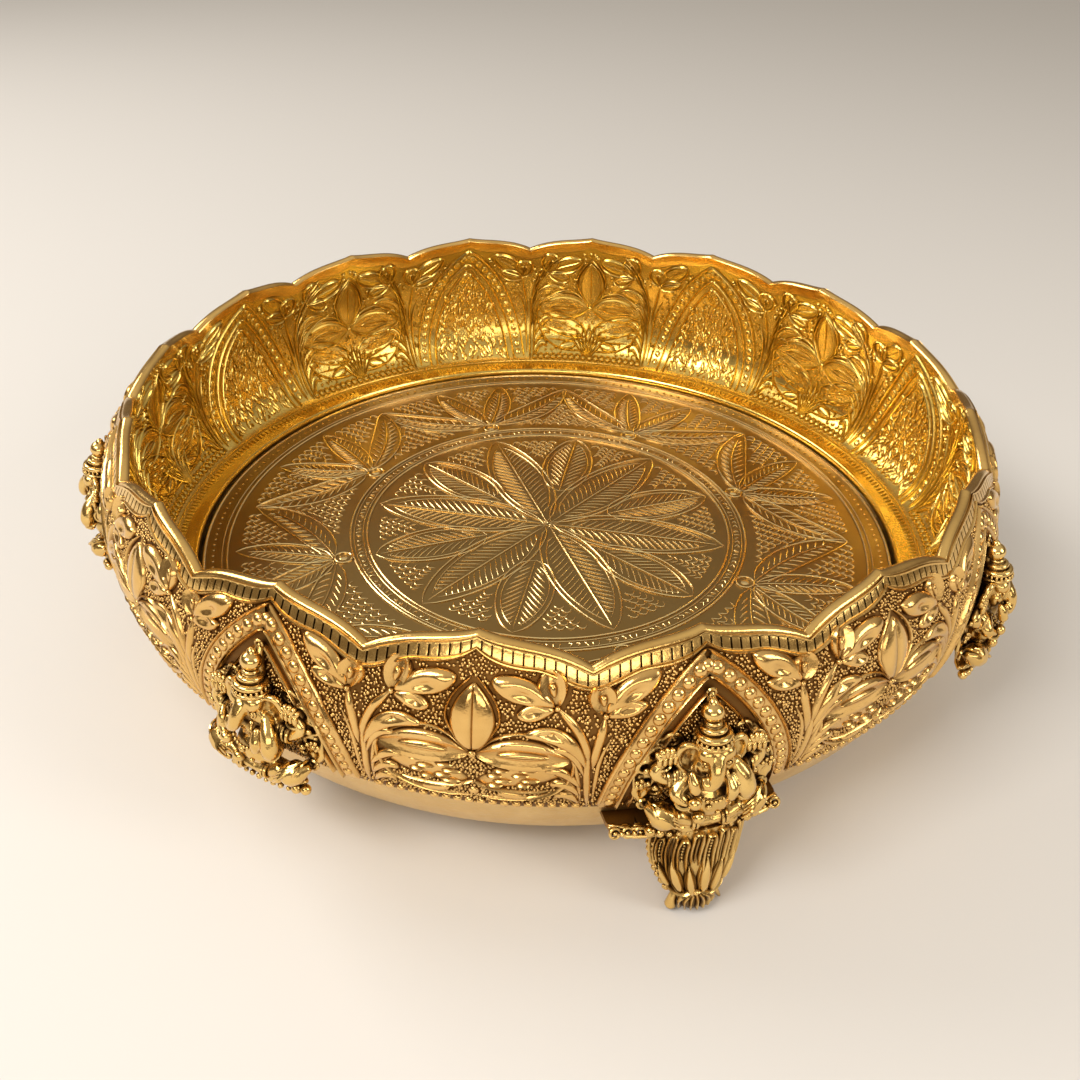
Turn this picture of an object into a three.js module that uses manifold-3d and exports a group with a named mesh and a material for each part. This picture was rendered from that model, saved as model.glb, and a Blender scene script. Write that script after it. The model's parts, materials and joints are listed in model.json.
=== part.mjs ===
// Footed urli bowl of embossed brass: a leaning wall with a scalloped, slit lip over a plain spun pan,
// eight seated elephant-headed figures round the belly, and three cast leaf legs.
// Millimetres, +Z up. The soles stand on z = 0, the bowl's axis is x = y = 0, and a footed figure faces -Y.
import * as THREE from 'three';
import { mergeVertices } from 'three/addons/utils/BufferGeometryUtils.js';
import Module from 'manifold-3d';

const wasm = await Module();
wasm.setup();

// Wall
const bellyRadius = 163.5;       // outside of the wall where it is widest
const bellyHeight = 60;          // of that widest line above the table
const seamHeight = 37.5;         // shoulder of the wall, which sits on the pan
const seamInset = 4;             // how far the shoulder is in from the belly
const wallThickness = 2.4;
const flangeWidth = 21.7;        // the foot's inward flange, from the seam to the floor
const flangeDrop = 11.1;         // from the seam down to the flange's underside
const flangeThickness = 2;
const lipBead = 1;               // height of the bright bead along the flange's edge
const reliefHeight = 1.4;        // of the embossing's main forms
const reliefRoot = 1;            // how deep such a form is set into the sheet

// Rim
const bays = 16;                 // scallops, and panels of the embossing under them
const rimHeight = 93.5;          // points of the scalloped edge
const rimInset = 11;             // how far the edge leans in from the belly
const scallopDepth = 7.2;        // from the points down to the notches
const rimBandHeight = 3.3;       // of the slit band at the points
const bandFootDepth = 8.8;       // from the band's foot at the points down to its foot at the notches
const rimBandProud = 0.7;        // how far the slit band stands out of the wall
const rimTopWidth = 3.6;         // flat top of the edge

// Floor plate and spun pan
const floorDrop = 10.5;          // from the seam down to the top of the floor plate
const floorThickness = 2;
const floorGroove = 1.3;         // dark groove between the plate and the lip
const panThickness = 1.8;
const panStep = 0.6;             // how far the pan is in from the wall at the seam
const panUnderside = 6.5;        // of the foot ring above the table
const panInset = 30;             // from the seam in to the foot ring
const footRingWidth = 9;
const punchRun = 5;              // slope of the raised middle that carries the floor plate

// Figures
const figures = 8;
const strayFigure = 7;           // this one was brazed on beside the middle of its panel
const strayTurn = 4.5;           // by so many degrees
const figureStandOff = 3.5;      // middle of the torso outside the belly
const seatHalfWidth = 16.5;
const seatThickness = 4.5;
const kneeRadius = 3.8;
const torsoHeight = 19;
const torsoHalfWidth = 8.4;
const torsoHalfDepth = 7;
const headHeight = 13;
const headHalfWidth = 5.8;
const earHalfWidth = 3.2;
const trunkRadius = 2;
const armRadius = 1.9;
const handRadius = 2.4;
const sweetRadius = 1.9;
const crownRadius = 5.2;
const crownHeight = 7.4;
const finialRadius = 3.4;
const beadRadius = 1.7;          // on the wall, over the finial
const backHalfWidth = 20.5;      // pierced scroll plate behind the figure
const backHeight = 29;
const backThickness = 3.5;
const piercingRadius = 2.8;

// Legs and the slabs between them and the figures
const legAngles = [0, 135, -135];    // degrees round from -Y towards +X, each under a figure
const slabDrop = 6.5;            // from the seam down to the top of a leg, where the slab lies
const bracketThickness = 1.8;
const bracketHalfWidth = 26;
const bracketDepth = 9;          // from the pan out to the slab's front edge
const lobes = 6;                 // along the slab's front edge
const lobeStep = 2;              // how far its two outer lobes lie back
const legHalfWidth = 13.6;
const legHalfDepth = 6.6;
const legStandOff = 7.2;         // middle of the leg outside the pan
const legRibs = 11;
const legRibDepth = 0.07;        // height of a rib as a share of the leg's radius there
const soleHalfWidth = 3.6;
const clawRadius = 1.5;
const clawSpread = 7.6;            // from the leg's middle to a claw
const clawHeight = 8;

// Clearance that brazed neighbours keep in this model
const seatGap = 0.3;

// Fineness
const ballSides = 6;
const ballRings = 4;
const rodSides = 5;
const latheSides = 60;

const degree = Math.PI / 180;

// Colours of the brass
const finish = (color, roughness) => new THREE.MeshStandardMaterial({ color, roughness, metalness: 1 });
const embossedBrass = () => finish(0xc6923a, 0.3);
const polishedBrass = () => finish(0xd2a650, 0.22);
const satinBrass = () => finish(0xc29a5c, 0.4);
const engravedBrass = () => finish(0xa87a2e, 0.28);
const castBrass = () => finish(0xc8963e, 0.27);

const bowl = new THREE.Group();

function addPiece(name, geometry, material, angle = 0) {
  const mesh = new THREE.Mesh(geometry, material);
  mesh.name = name;
  mesh.rotation.z = angle;
  bowl.add(mesh);
}

// Solids that are joined and cut

function solidOf(geometry) {
  const bare = geometry.clone();
  bare.deleteAttribute('normal');
  bare.deleteAttribute('uv');
  const merged = mergeVertices(bare, 1e-4);
  return new wasm.Manifold(new wasm.Mesh({
    numProp: 3,
    vertProperties: new Float32Array(merged.attributes.position.array),
    triVerts: new Uint32Array(merged.index.array),
  }));
}

function geometryOf(solid) {
  const { vertProperties, triVerts, numProp } = solid.getMesh();
  const geometry = new THREE.BufferGeometry();
  const positions = [];
  for (let i = 0; i < vertProperties.length; i += numProp) {
    positions.push(vertProperties[i], vertProperties[i + 1], vertProperties[i + 2]);
  }
  geometry.setAttribute('position', new THREE.Float32BufferAttribute(positions, 3));
  geometry.setIndex(Array.from(triVerts));
  geometry.computeVertexNormals();
  return geometry;
}

const joined = (solids) => solids.reduce((whole, solid) => whole.add(solid));

// A place on a figure or leg: across the front, out from the bowl's axis, and up
const place = (across, out, up) => new THREE.Vector3(across, -out, up);

function ball(centre, halfWidth, halfDepth, halfHeight) {
  const geometry = new THREE.SphereGeometry(1, ballSides, ballRings);
  geometry.rotateX(Math.PI / 2);
  geometry.scale(halfWidth, halfDepth, halfHeight);
  geometry.translate(centre.x, centre.y, centre.z);
  return solidOf(geometry);
}

function rod(from, to, fromRadius, toRadius) {
  const along = new THREE.Vector3().subVectors(to, from);
  const geometry = new THREE.CylinderGeometry(toRadius, fromRadius, along.length(), rodSides);
  const upright = new THREE.Vector3(0, 1, 0);
  geometry.applyQuaternion(new THREE.Quaternion().setFromUnitVectors(upright, along.clone().normalize()));
  geometry.translate((from.x + to.x) / 2, (from.y + to.y) / 2, (from.z + to.z) / 2);
  return solidOf(geometry);
}

// Turned about a vertical axis, from points of radius and height
function turned(outline, sides) {
  const geometry = new THREE.LatheGeometry(outline.map(([r, z]) => new THREE.Vector2(r, z)), sides);
  geometry.rotateX(Math.PI / 2);
  return geometry;
}

function block(lowX, lowY, lowZ, highX, highY, highZ) {
  const geometry = new THREE.BoxGeometry(highX - lowX, highY - lowY, highZ - lowZ);
  geometry.translate((lowX + highX) / 2, (lowY + highY) / 2, (lowZ + highZ) / 2);
  return solidOf(geometry);
}

// The wall's outside, a curve that bulges at the belly

const seamRadius = bellyRadius - seamInset;
const floorHeight = seamHeight - floorDrop;
const legHeight = seamHeight - slabDrop;

function wallRadius(z) {
  const above = z > bellyHeight;
  const share = (z - bellyHeight) / ((above ? rimHeight : seamHeight) - bellyHeight);
  return bellyRadius - (above ? rimInset : seamInset) * share * share;
}

// Change of radius for each millimetre of height
function wallSlope(z) {
  const above = z > bellyHeight;
  if (above) return -2 * rimInset * (z - bellyHeight) / (rimHeight - bellyHeight) ** 2;
  return 2 * seamInset * (bellyHeight - z) / (bellyHeight - seamHeight) ** 2;
}

// A point that stands out of the wall's outside by a distance square to it
function wallPoint(z, proud) {
  const slope = wallSlope(z);
  const length = Math.hypot(1, slope);
  return [wallRadius(z) + proud / length, z - proud * slope / length];
}

// Angles round the bowl, six to a bay, closer together near the scallop's point

const bayAngle = 2 * Math.PI / bays;
const bayStations = [-1, -0.75, -0.25, 0, 0.25, 0.75];
const stations = [];
for (let bay = 0; bay < bays; bay += 1) {
  for (const offset of bayStations) {
    stations.push({ angle: (bay + offset / 2) * bayAngle, rise: 1 - Math.abs(offset) });
  }
}

// Height of the scalloped edge: a steep round shoulder out of the notch, then a sweep up to the point
const shoulderShare = 0.72;
function scallopHeight(rise) {
  const shoulder = shoulderShare * (1 - (1 - rise) ** 3.2);
  const point = (1 - shoulderShare) * rise ** 4;
  return rimHeight - scallopDepth * (1 - shoulder - point);
}

// Height of the slit band's foot, which runs in flatter waves and comes to a point under each point above
function bandFootHeight(rise) {
  const half = Math.min(1, 2 * rise);
  const share = (half * half * (3 - 2 * half) + rise ** 5) / 2;
  return rimHeight - rimBandHeight - bandFootDepth * (1 - share);
}

// A closed ring body from an anticlockwise section of radius and height at each station
function ringBody(sectionAt) {
  const sections = stations.map(sectionAt);
  const points = sections[0].length;
  const positions = [];
  const index = [];
  sections.forEach((section, i) => {
    const angle = stations[i].angle;
    section.forEach(([r, z]) => positions.push(r * Math.sin(angle), -r * Math.cos(angle), z));
    const next = ((i + 1) % stations.length) * points;
    for (let j = 0; j < points; j += 1) {
      const k = (j + 1) % points;
      index.push(i * points + j, next + j, next + k, i * points + j, next + k, i * points + k);
    }
  });
  const geometry = new THREE.BufferGeometry();
  geometry.setAttribute('position', new THREE.Float32BufferAttribute(positions, 3));
  geometry.setIndex(index);
  geometry.computeVertexNormals();
  return geometry;
}

// Wall with its foot

const bandClearance = 2;         // from the wall's last level row to the lowest part of the band
const levelTop = bandFootHeight(0) - bandClearance;
const wallLevels = [0, 0.25, 0.5, 0.75, 1].map((share) => seamHeight + share * (levelTop - seamHeight));
const lipRadius = seamRadius - flangeWidth;
const flangeFoot = seamHeight - flangeDrop;
const panTopRadius = seamRadius - panStep;
const panEdgeWidth = 1.1 * panThickness;     // the pan leans, so its edge is wider than its sheet

// The foot turns in from a shoulder on the pan's edge, down inside the pan and flat to the lip
function footCurve(topRadius, topHeight, footHeight) {
  const run = topRadius - lipRadius;
  return new THREE.QuadraticBezierCurve(
    new THREE.Vector2(lipRadius + 0.2 * run, footHeight),
    new THREE.Vector2(lipRadius + 0.75 * run, footHeight),
    new THREE.Vector2(topRadius, topHeight),
  ).getPoints(4).map(({ x, y }) => [x, y]);
}

function wallSection({ rise }) {
  const top = bandFootHeight(rise) - seatGap;
  const flangeTop = flangeFoot + flangeThickness;
  const shoulderRadius = panTopRadius - panEdgeWidth - seatGap;
  const underside = footCurve(shoulderRadius, seamHeight, flangeFoot);
  const upside = footCurve(seamRadius - wallThickness, seamHeight + flangeThickness, flangeTop);
  const outside = [...wallLevels, top].map((z) => wallPoint(z, 0));
  const inside = [top, wallLevels[3], wallLevels[1]].map((z) => wallPoint(z, -wallThickness));
  return [
    [lipRadius, flangeFoot],
    ...underside,
    ...outside,
    ...inside,
    ...upside.reverse(),
    [lipRadius + lipBead, flangeTop + lipBead],
    [lipRadius, flangeTop],
  ];
}

// Main forms of the embossing, with few faces. A place on the wall is given as a share of the bay's half
// width from its middle, and as a share of the height from the seam to the scallops' points.

const bayHalf = Math.PI * bellyRadius / bays;

function onWall([across, up], proud) {
  const [r, z] = wallPoint(seamHeight + up * (rimHeight - seamHeight), proud);
  const angle = across * bayHalf / bellyRadius;
  return [r * Math.sin(angle), -r * Math.cos(angle), z];
}

// A leaf is a shallow hull: its outline lies in the sheet and its crest stands out
function leaf(outline, crest) {
  return wasm.Manifold.hull([
    ...outline.map((spot) => onWall(spot, -reliefRoot)),
    ...crest.map((spot) => onWall(spot, reliefHeight)),
  ]);
}

const leftOf = (spots) => spots.map(([across, up]) => [-across, up]);

function leafPair(outline, crest) {
  return leaf(outline, crest).add(leaf(leftOf(outline), leftOf(crest)));
}

// Upright leaf over an almond pair, with a spray from each border of the bay
function leafBay() {
  return joined([
    leaf([[0, 0.43], [-0.2, 0.6], [0.2, 0.6], [0, 0.83]], [[0, 0.52], [0, 0.7]]),
    leafPair([[0.04, 0.43], [0.4, 0.33], [0.42, 0.53], [0.82, 0.42]], [[0.26, 0.43], [0.6, 0.43]]),
    leafPair([[0.7, 0.69], [0.46, 0.82], [0.34, 0.7], [0.14, 0.82]], [[0.52, 0.745], [0.34, 0.77]]),
    leafPair([[0.9, 0.42], [0.72, 0.61], [0.66, 0.5], [0.42, 0.56]], [[0.74, 0.54], [0.6, 0.565]]),
    leafPair([[0.78, 0.38], [0.68, 0.14], [0.24, 0.08], [0.1, 0.28]], [[0.54, 0.22], [0.34, 0.2]]),
  ]);
}

// Pointed arch, from the foot of one side over the point to the other, as outer and inner edge
const archLines = [
  [[0.91, 0.035], [0.735, 0.035]],
  [[0.855, 0.235], [0.685, 0.21]],
  [[0.755, 0.41], [0.59, 0.38]],
  [[0.625, 0.56], [0.47, 0.515]],
  [[0.325, 0.78], [0.2, 0.715]],
];
const archPoint = [[0, 0.92], [0, 0.8]];
const archSlope = 0.14;          // share of the band's width that its sloping edges take

// The arch as a raised band, or as the space that it needs with a clearance all round it
function arch(clearance = 0) {
  const wider = clearance / bayHalf;
  const left = archLines.slice().reverse().map(leftOf);
  const positions = [];
  const index = [];
  [...archLines, archPoint, ...left].forEach(([outer, inner], i) => {
    const across = Math.sign(archLines.length - i) * wider;
    const rise = across === 0 ? wider : 0;
    const rim = [outer[0] + across, outer[1] + rise];
    const hollow = [inner[0] - across, inner[1] - rise];
    const towards = (from, to) => from.map((value, axis) => value + archSlope * (to[axis] - value));
    positions.push(
      ...onWall(rim, -reliefRoot), ...onWall(towards(rim, hollow), reliefHeight + clearance),
      ...onWall(towards(hollow, rim), reliefHeight + clearance), ...onWall(hollow, -reliefRoot),
    );
    for (let j = 0; i > 0 && j < 4; j += 1) {
      const a = 4 * (i - 1) + j;
      const b = 4 * (i - 1) + (j + 1) % 4;
      index.push(a, a + 4, b + 4, a, b + 4, b);
    }
  });
  const last = positions.length / 3 - 4;
  index.push(0, 1, 2, 0, 2, 3, last, last + 2, last + 1, last, last + 3, last + 2);
  const geometry = new THREE.BufferGeometry();
  geometry.setAttribute('position', new THREE.Float32BufferAttribute(positions, 3));
  geometry.setIndex(index);
  return solidOf(geometry);
}

function wallBand() {
  const forms = [];
  for (let bay = 0; bay < bays; bay += 1) {
    const form = bay % 2 === 0 ? arch() : leafBay();
    forms.push(form.rotate([0, 0, bay * 360 / bays]));
  }
  return geometryOf(joined([solidOf(ringBody(wallSection)), ...forms]));
}

// The slit band along the edge, flush with the wall inside and proud of it outside
function rimSection({ rise }) {
  const top = scallopHeight(rise);
  const foot = bandFootHeight(rise);
  const middle = (top + foot) / 2;
  const edge = wallPoint(top, rimBandProud);
  return [
    wallPoint(foot, -wallThickness),
    wallPoint(foot, rimBandProud),
    wallPoint(middle, rimBandProud),
    edge,
    [edge[0] - rimTopWidth, edge[1]],
    wallPoint(middle, -wallThickness),
  ];
}

// Spun pan: one sheet, down from the seam, round to the foot ring and up to a raised middle

const platformTop = floorHeight - floorThickness - seatGap;

const panLean = wallSlope(seamHeight);

function panCurve(topRadius, topHeight, footHeight) {
  return new THREE.QuadraticBezierCurve(
    new THREE.Vector2(topRadius, topHeight),
    new THREE.Vector2(topRadius - panLean * (topHeight - footHeight), footHeight),
    new THREE.Vector2(seamRadius - panInset, footHeight),
  ).getPoints(6).map(({ x, y }) => [x, y]);
}

const panTop = seamHeight - seatGap;
const panOutside = panCurve(panTopRadius, panTop, panUnderside);

function basePan() {
  const ringInside = seamRadius - panInset - footRingWidth;
  const inside = panCurve(panTopRadius - panEdgeWidth, panTop, panUnderside + panThickness);
  return turned([
    [0, platformTop - panThickness],
    [ringInside - punchRun, platformTop - panThickness],
    [ringInside, panUnderside],
    ...panOutside.slice().reverse(),
    ...inside,
    [ringInside + panThickness, panUnderside + panThickness],
    [ringInside - punchRun + panThickness, platformTop],
    [0, platformTop],
  ], latheSides);
}

// Outside radius of the pan at a height
function panRadius(z) {
  const share = Math.sqrt(Math.max(0, (z - panUnderside) / (panTop - panUnderside)));
  const t = 1 - Math.min(1, share);
  const bend = panTopRadius - panLean * (panTop - panUnderside);
  return (1 - t) ** 2 * panTopRadius + 2 * t * (1 - t) * bend + t * t * (seamRadius - panInset);
}

function floorPlate() {
  const radius = lipRadius - floorGroove;
  const chamfer = floorThickness * 0.3;
  return turned([
    [0, floorHeight - floorThickness],
    [radius, floorHeight - floorThickness],
    [radius, floorHeight - chamfer],
    [radius - chamfer, floorHeight],
    [0, floorHeight],
  ], latheSides);
}

// Everything inside this body is taken by the wall, the rim and the pan, with the clearance round them
const bowlSpace = solidOf(ringBody(() => [
  [bellyRadius / 2, panUnderside],
  ...panOutside.slice().reverse().map(([r, z]) => [r + seatGap, z]),
  ...wallLevels.map((z) => wallPoint(z, seatGap)),
  wallPoint(bandFootHeight(0), rimBandProud + seatGap),
  wallPoint(rimHeight, rimBandProud + seatGap),
  [bellyRadius / 2, rimHeight],
]));

// Seat slab under a footed figure: a thin plate with a lobed edge, held on the wall

const bracketFoot = legHeight + seatGap;
const bracketTop = bracketFoot + bracketThickness;
const bracketFront = panRadius(bracketFoot) + bracketDepth;

function seatBracket() {
  const lobe = bracketHalfWidth / lobes;
  const shape = new THREE.Shape();
  const back = -0.75 * seamRadius;
  shape.moveTo(bracketHalfWidth, back);
  shape.lineTo(bracketHalfWidth, -bracketFront + lobe + lobeStep);
  for (let i = 0; i < lobes; i += 1) {
    const centre = bracketHalfWidth - lobe - 2 * lobe * i;
    const depth = -bracketFront + lobe + (i === 0 || i === lobes - 1 ? lobeStep : 0);
    shape.absarc(centre, depth, lobe, 0, -Math.PI, true);
  }
  shape.lineTo(-bracketHalfWidth, back);
  const geometry = new THREE.ExtrudeGeometry(shape, {
    depth: bracketThickness, bevelEnabled: false, curveSegments: 3,
  });
  geometry.translate(0, 0, bracketFoot);
  return geometryOf(solidOf(geometry).subtract(bowlSpace));
}

// Leg: ribbed leaf, widest in its upper third, down to a small sole between two claws

const legMiddle = panRadius(legHeight) + legStandOff;

function leafLeg() {
  const lowWidth = soleHalfWidth / legHalfWidth;
  // Share of the height, of the half width and of the half depth, and how far the middle is moved out
  const levels = [
    [0, lowWidth, 0.4, 4],
    [0.13, lowWidth + 0.13, 0.6, 3.4],
    [0.32, 0.66, 0.78, 2.2],
    [0.55, 0.9, 0.94, 1],
    [0.78, 1, 1, 0],
    [0.92, 0.97, 0.85, -0.8],
    [1, 0.82, 0.5, -2],
  ];
  const around = 2 * legRibs;
  const positions = [];
  const index = [];
  levels.forEach(([share, width, depth, moved], level) => {
    for (let i = 0; i < around; i += 1) {
      const turn = Math.PI * i / legRibs;
      const rib = 1 + legRibDepth * (i % 2 ? -1 : 1);
      positions.push(
        legHalfWidth * width * rib * Math.cos(turn),
        -legMiddle - moved + legHalfDepth * depth * rib * Math.sin(turn),
        legHeight * share,
      );
      if (level + 1 < levels.length) {
        const a = level * around + i;
        const b = level * around + (i + 1) % around;
        index.push(a, b, b + around, a, b + around, a + around);
      }
    }
  });
  const last = (levels.length - 1) * around;
  for (let i = 1; i + 1 < around; i += 1) {
    index.push(0, i + 1, i);
    index.push(last, last + i, last + i + 1);
  }
  const leaf = new THREE.BufferGeometry();
  leaf.setAttribute('position', new THREE.Float32BufferAttribute(positions, 3));
  leaf.setIndex(index);

  const sole = legMiddle + levels[0][3];
  const claws = [-1, 1].map((side) => rod(
    place(side * soleHalfWidth, sole - 1, clawHeight),
    place(side * clawSpread, sole, -clawRadius),
    1.4 * clawRadius,
    0.8 * clawRadius,
  ));
  const below = block(-bellyRadius, -bellyRadius * 2, -bellyHeight, bellyRadius, 0, 0);
  return geometryOf(joined([solidOf(leaf), ...claws]).subtract(below));
}

// Figure: seated, four-armed, elephant-headed, with a tiered crown, in front of a pierced scroll plate

const figureFoot = bracketTop + seatGap;

// How far the crown leans back for each millimetre up, to follow the wall
const wallLean = 0.25;

// Two tiers, an onion over them, and a bead above it that touches the wall
function crown(base, middle) {
  const tiers = turned([
    [0, -1],
    [crownRadius, crownHeight * 0.1],
    [crownRadius, crownHeight * 0.65],
    [crownRadius * 0.56, crownHeight * 0.75],
    [crownRadius * 0.5, crownHeight],
    [0, crownHeight + 0.2],
  ], ballSides);
  const lean = new THREE.Vector3(0, wallLean, 1).normalize();
  tiers.applyQuaternion(new THREE.Quaternion().setFromUnitVectors(new THREE.Vector3(0, 0, 1), lean));
  tiers.translate(0, -middle, base);
  const onionRise = crownHeight + 0.8 * finialRadius;
  const onion = place(0, middle - wallLean * onionRise, base + onionRise);
  const bead = onion.clone().add(place(0, -finialRadius, finialRadius));
  return joined([
    solidOf(tiers),
    ball(onion, finialRadius, finialRadius, finialRadius),
    rod(onion, bead, beadRadius * 0.8, beadRadius * 0.6),
    ball(bead, beadRadius, beadRadius, beadRadius),
  ]);
}

function scrollPlate(front) {
  const shape = new THREE.Shape();
  const low = figureFoot + seatThickness * 0.6;
  const shoulder = low + backHeight * 0.58;
  const top = low + backHeight;
  shape.moveTo(-backHalfWidth * 0.7, low);
  shape.lineTo(backHalfWidth * 0.7, low);
  shape.quadraticCurveTo(backHalfWidth * 1.1, low + backHeight * 0.2, backHalfWidth, shoulder);
  shape.quadraticCurveTo(backHalfWidth * 0.8, top, 0, top);
  shape.quadraticCurveTo(-backHalfWidth * 0.8, top, -backHalfWidth, shoulder);
  shape.quadraticCurveTo(-backHalfWidth * 1.1, low + backHeight * 0.2, -backHalfWidth * 0.7, low);
  for (const side of [-1, 1]) {
    const hole = new THREE.Path();
    hole.absarc(side * 0.76 * backHalfWidth, low + 0.5 * backHeight, piercingRadius, 0, 2 * Math.PI, true);
    shape.holes.push(hole);
  }
  const geometry = new THREE.ExtrudeGeometry(shape, {
    depth: backThickness, bevelEnabled: false, curveSegments: 3,
  });
  geometry.rotateX(Math.PI / 2);
  geometry.translate(0, -front + backThickness, 0);
  return solidOf(geometry);
}

function elephantFigure(turn) {
  const middle = bellyRadius + figureStandOff;
  const front = middle + torsoHalfDepth;
  const lap = figureFoot + seatThickness;
  const waist = lap + torsoHeight * 0.45;
  const shoulder = lap + torsoHeight * 0.85;
  const chin = lap + torsoHeight;
  const face = chin + headHeight * 0.38;
  const brow = face + headHeight * 0.3;
  const seat = place(0, middle, figureFoot + seatThickness * 0.4);
  const trunkFoot = place(-0.5 * trunkRadius, front + 0.3 * trunkRadius, chin + 0.5 * trunkRadius);
  const trunkTip = place(-1.9 * trunkRadius, front, chin + 0.3 * trunkRadius);
  const sweet = place(-torsoHalfWidth * 0.8, front, shoulder - 1.8 * sweetRadius);
  const solids = [
    scrollPlate(middle - 0.43 * backThickness),
    ball(seat, seatHalfWidth, torsoHalfDepth * 0.8, seatThickness),
    ball(place(0, middle, waist), torsoHalfWidth, torsoHalfDepth, torsoHeight / 2),
    ball(place(0, middle, face), headHalfWidth, headHalfWidth, headHeight / 2),
    crown(brow, middle + 0.08 * crownRadius),
    rod(place(0, front - 1.4 * trunkRadius, face), trunkFoot, trunkRadius * 1.2, trunkRadius),
    rod(trunkFoot, trunkTip, trunkRadius, trunkRadius * 0.6),
    ball(sweet, sweetRadius, sweetRadius, sweetRadius),
  ];
  for (const side of [-1, 1]) {
    const raised = place(side * torsoHalfWidth * 1.43, middle - 0.4 * handRadius, face + 0.4 * handRadius);
    const elbow = place(side * torsoHalfWidth * 1.75, middle, shoulder + 0.5 * armRadius);
    const offered = place(0.8 * side * torsoHalfWidth, front + 0.3 * armRadius, shoulder - 0.25 * armRadius);
    const knee = place(side * seatHalfWidth * 0.82, middle, lap + kneeRadius * 0.8);
    const foot = place(-side * 0.8 * kneeRadius, front - 0.37 * kneeRadius, lap - 0.16 * kneeRadius);
    const earDrop = 0.3 * earHalfWidth;
    const ear = place(side * (headHalfWidth + earDrop), middle - earDrop, face - earDrop);
    solids.push(
      ball(ear, earHalfWidth, earHalfWidth * 0.44, earHalfWidth * 1.3),
      rod(place(side * torsoHalfWidth * 0.6, middle, shoulder), elbow, armRadius * 1.15, armRadius),
      rod(elbow, raised, armRadius, armRadius * 0.9),
      ball(raised, handRadius, handRadius * 0.8, handRadius * 1.3),
      rod(place(side * torsoHalfWidth * 0.95, middle, shoulder), offered, armRadius * 1.2, armRadius),
      rod(knee, foot, kneeRadius, kneeRadius * 0.6),
    );
  }
  const below = block(-bellyRadius, -2 * bellyRadius, -bellyHeight, bellyRadius, 0, figureFoot);
  const archSpace = arch(seatGap).rotate([0, 0, turn]);
  return geometryOf(joined(solids).subtract(bowlSpace).subtract(archSpace).subtract(below));
}

addPiece('base_pan', basePan(), satinBrass());
addPiece('floor_plate', floorPlate(), engravedBrass());
addPiece('wall_band', wallBand(), embossedBrass());
addPiece('rim_band', ringBody(rimSection), polishedBrass());

for (let i = 0; i < figures; i += 1) {
  const stray = i + 1 === strayFigure ? strayTurn : 0;
  const angle = (i * 360 / figures - stray) * degree;
  addPiece(`elephant_figure_${i + 1}`, elephantFigure(stray), castBrass(), angle);
}
legAngles.forEach((angle, i) => {
  addPiece(`seat_bracket_${i + 1}`, seatBracket(), castBrass(), angle * degree);
  addPiece(`leaf_leg_${i + 1}`, leafLeg(), castBrass(), angle * degree);
});

export default bowl;
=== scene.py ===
# %% [markdown]
# # A footed urli bowl in embossed brass
# This notebook dresses a bowl whose solids are already sized: a leaning wall with a scalloped lip, a spun
# pan, an engraved floor, eight cast figures and three leaf legs. Everything is drawn in millimetres and
# turned into metres when a mesh is made. The bowl's axis is the Z axis, the table is z = 0, and a footed
# figure faces -Y.

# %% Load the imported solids
import json
import math

import bpy
import numpy as np
from mathutils import Matrix, Vector

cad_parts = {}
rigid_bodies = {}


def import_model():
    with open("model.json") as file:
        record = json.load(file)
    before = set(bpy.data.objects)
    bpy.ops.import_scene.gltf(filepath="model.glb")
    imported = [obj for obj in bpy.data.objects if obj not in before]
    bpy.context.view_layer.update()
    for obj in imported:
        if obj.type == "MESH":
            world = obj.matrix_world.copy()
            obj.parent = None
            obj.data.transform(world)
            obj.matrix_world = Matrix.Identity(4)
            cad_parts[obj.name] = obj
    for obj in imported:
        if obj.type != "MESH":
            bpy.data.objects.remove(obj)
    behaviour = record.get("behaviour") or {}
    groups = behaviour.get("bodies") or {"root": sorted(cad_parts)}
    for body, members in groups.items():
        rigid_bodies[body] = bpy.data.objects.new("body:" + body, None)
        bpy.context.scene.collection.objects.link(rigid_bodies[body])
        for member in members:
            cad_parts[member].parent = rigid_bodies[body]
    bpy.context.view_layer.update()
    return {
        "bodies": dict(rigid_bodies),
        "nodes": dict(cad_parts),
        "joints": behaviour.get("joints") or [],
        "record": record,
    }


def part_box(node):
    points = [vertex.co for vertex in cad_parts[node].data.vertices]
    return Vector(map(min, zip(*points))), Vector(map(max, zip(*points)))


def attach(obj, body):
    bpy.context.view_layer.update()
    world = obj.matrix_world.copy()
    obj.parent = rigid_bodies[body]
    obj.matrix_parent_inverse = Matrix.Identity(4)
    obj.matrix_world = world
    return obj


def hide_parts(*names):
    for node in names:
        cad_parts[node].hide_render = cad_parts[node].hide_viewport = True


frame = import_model()
bpy.ops.object.select_all(action="DESELECT")
chance = np.random.default_rng(4)

MM = 0.001
GAP = 0.3                                   # clearance between brazed neighbours
PAN_STEP = 0.6                              # how far the pan is in from the wall at the seam
SEAM_INSET = 4                              # how far the seam is in from the belly
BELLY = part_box("base_pan")[1].x / MM + PAN_STEP + SEAM_INSET
FLOOR_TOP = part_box("floor_plate")[1].z / MM
FLOOR_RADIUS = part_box("floor_plate")[1].x / MM
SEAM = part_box("base_pan")[1].z / MM + GAP   # the wall's shoulder, on the pan's edge
RIM = 93.5                                  # points of the scalloped edge
BAYS = 16
BAY = 2 * math.pi / BAYS
print("belly radius", round(BELLY, 1), "seam", round(SEAM, 1), "floor", round(FLOOR_TOP, 1))

# %% [markdown]
# ## Making a mesh from points
# The cast parts start as balls and rings that an operator adds, because those are easier to follow than typed
# vertices. Sheet metal that is worked from behind has no primitive, so there a formula lays out the points
# and the faces join them in rows. Every finished piece keeps its place in its mesh, with its object at the
# origin.

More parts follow.
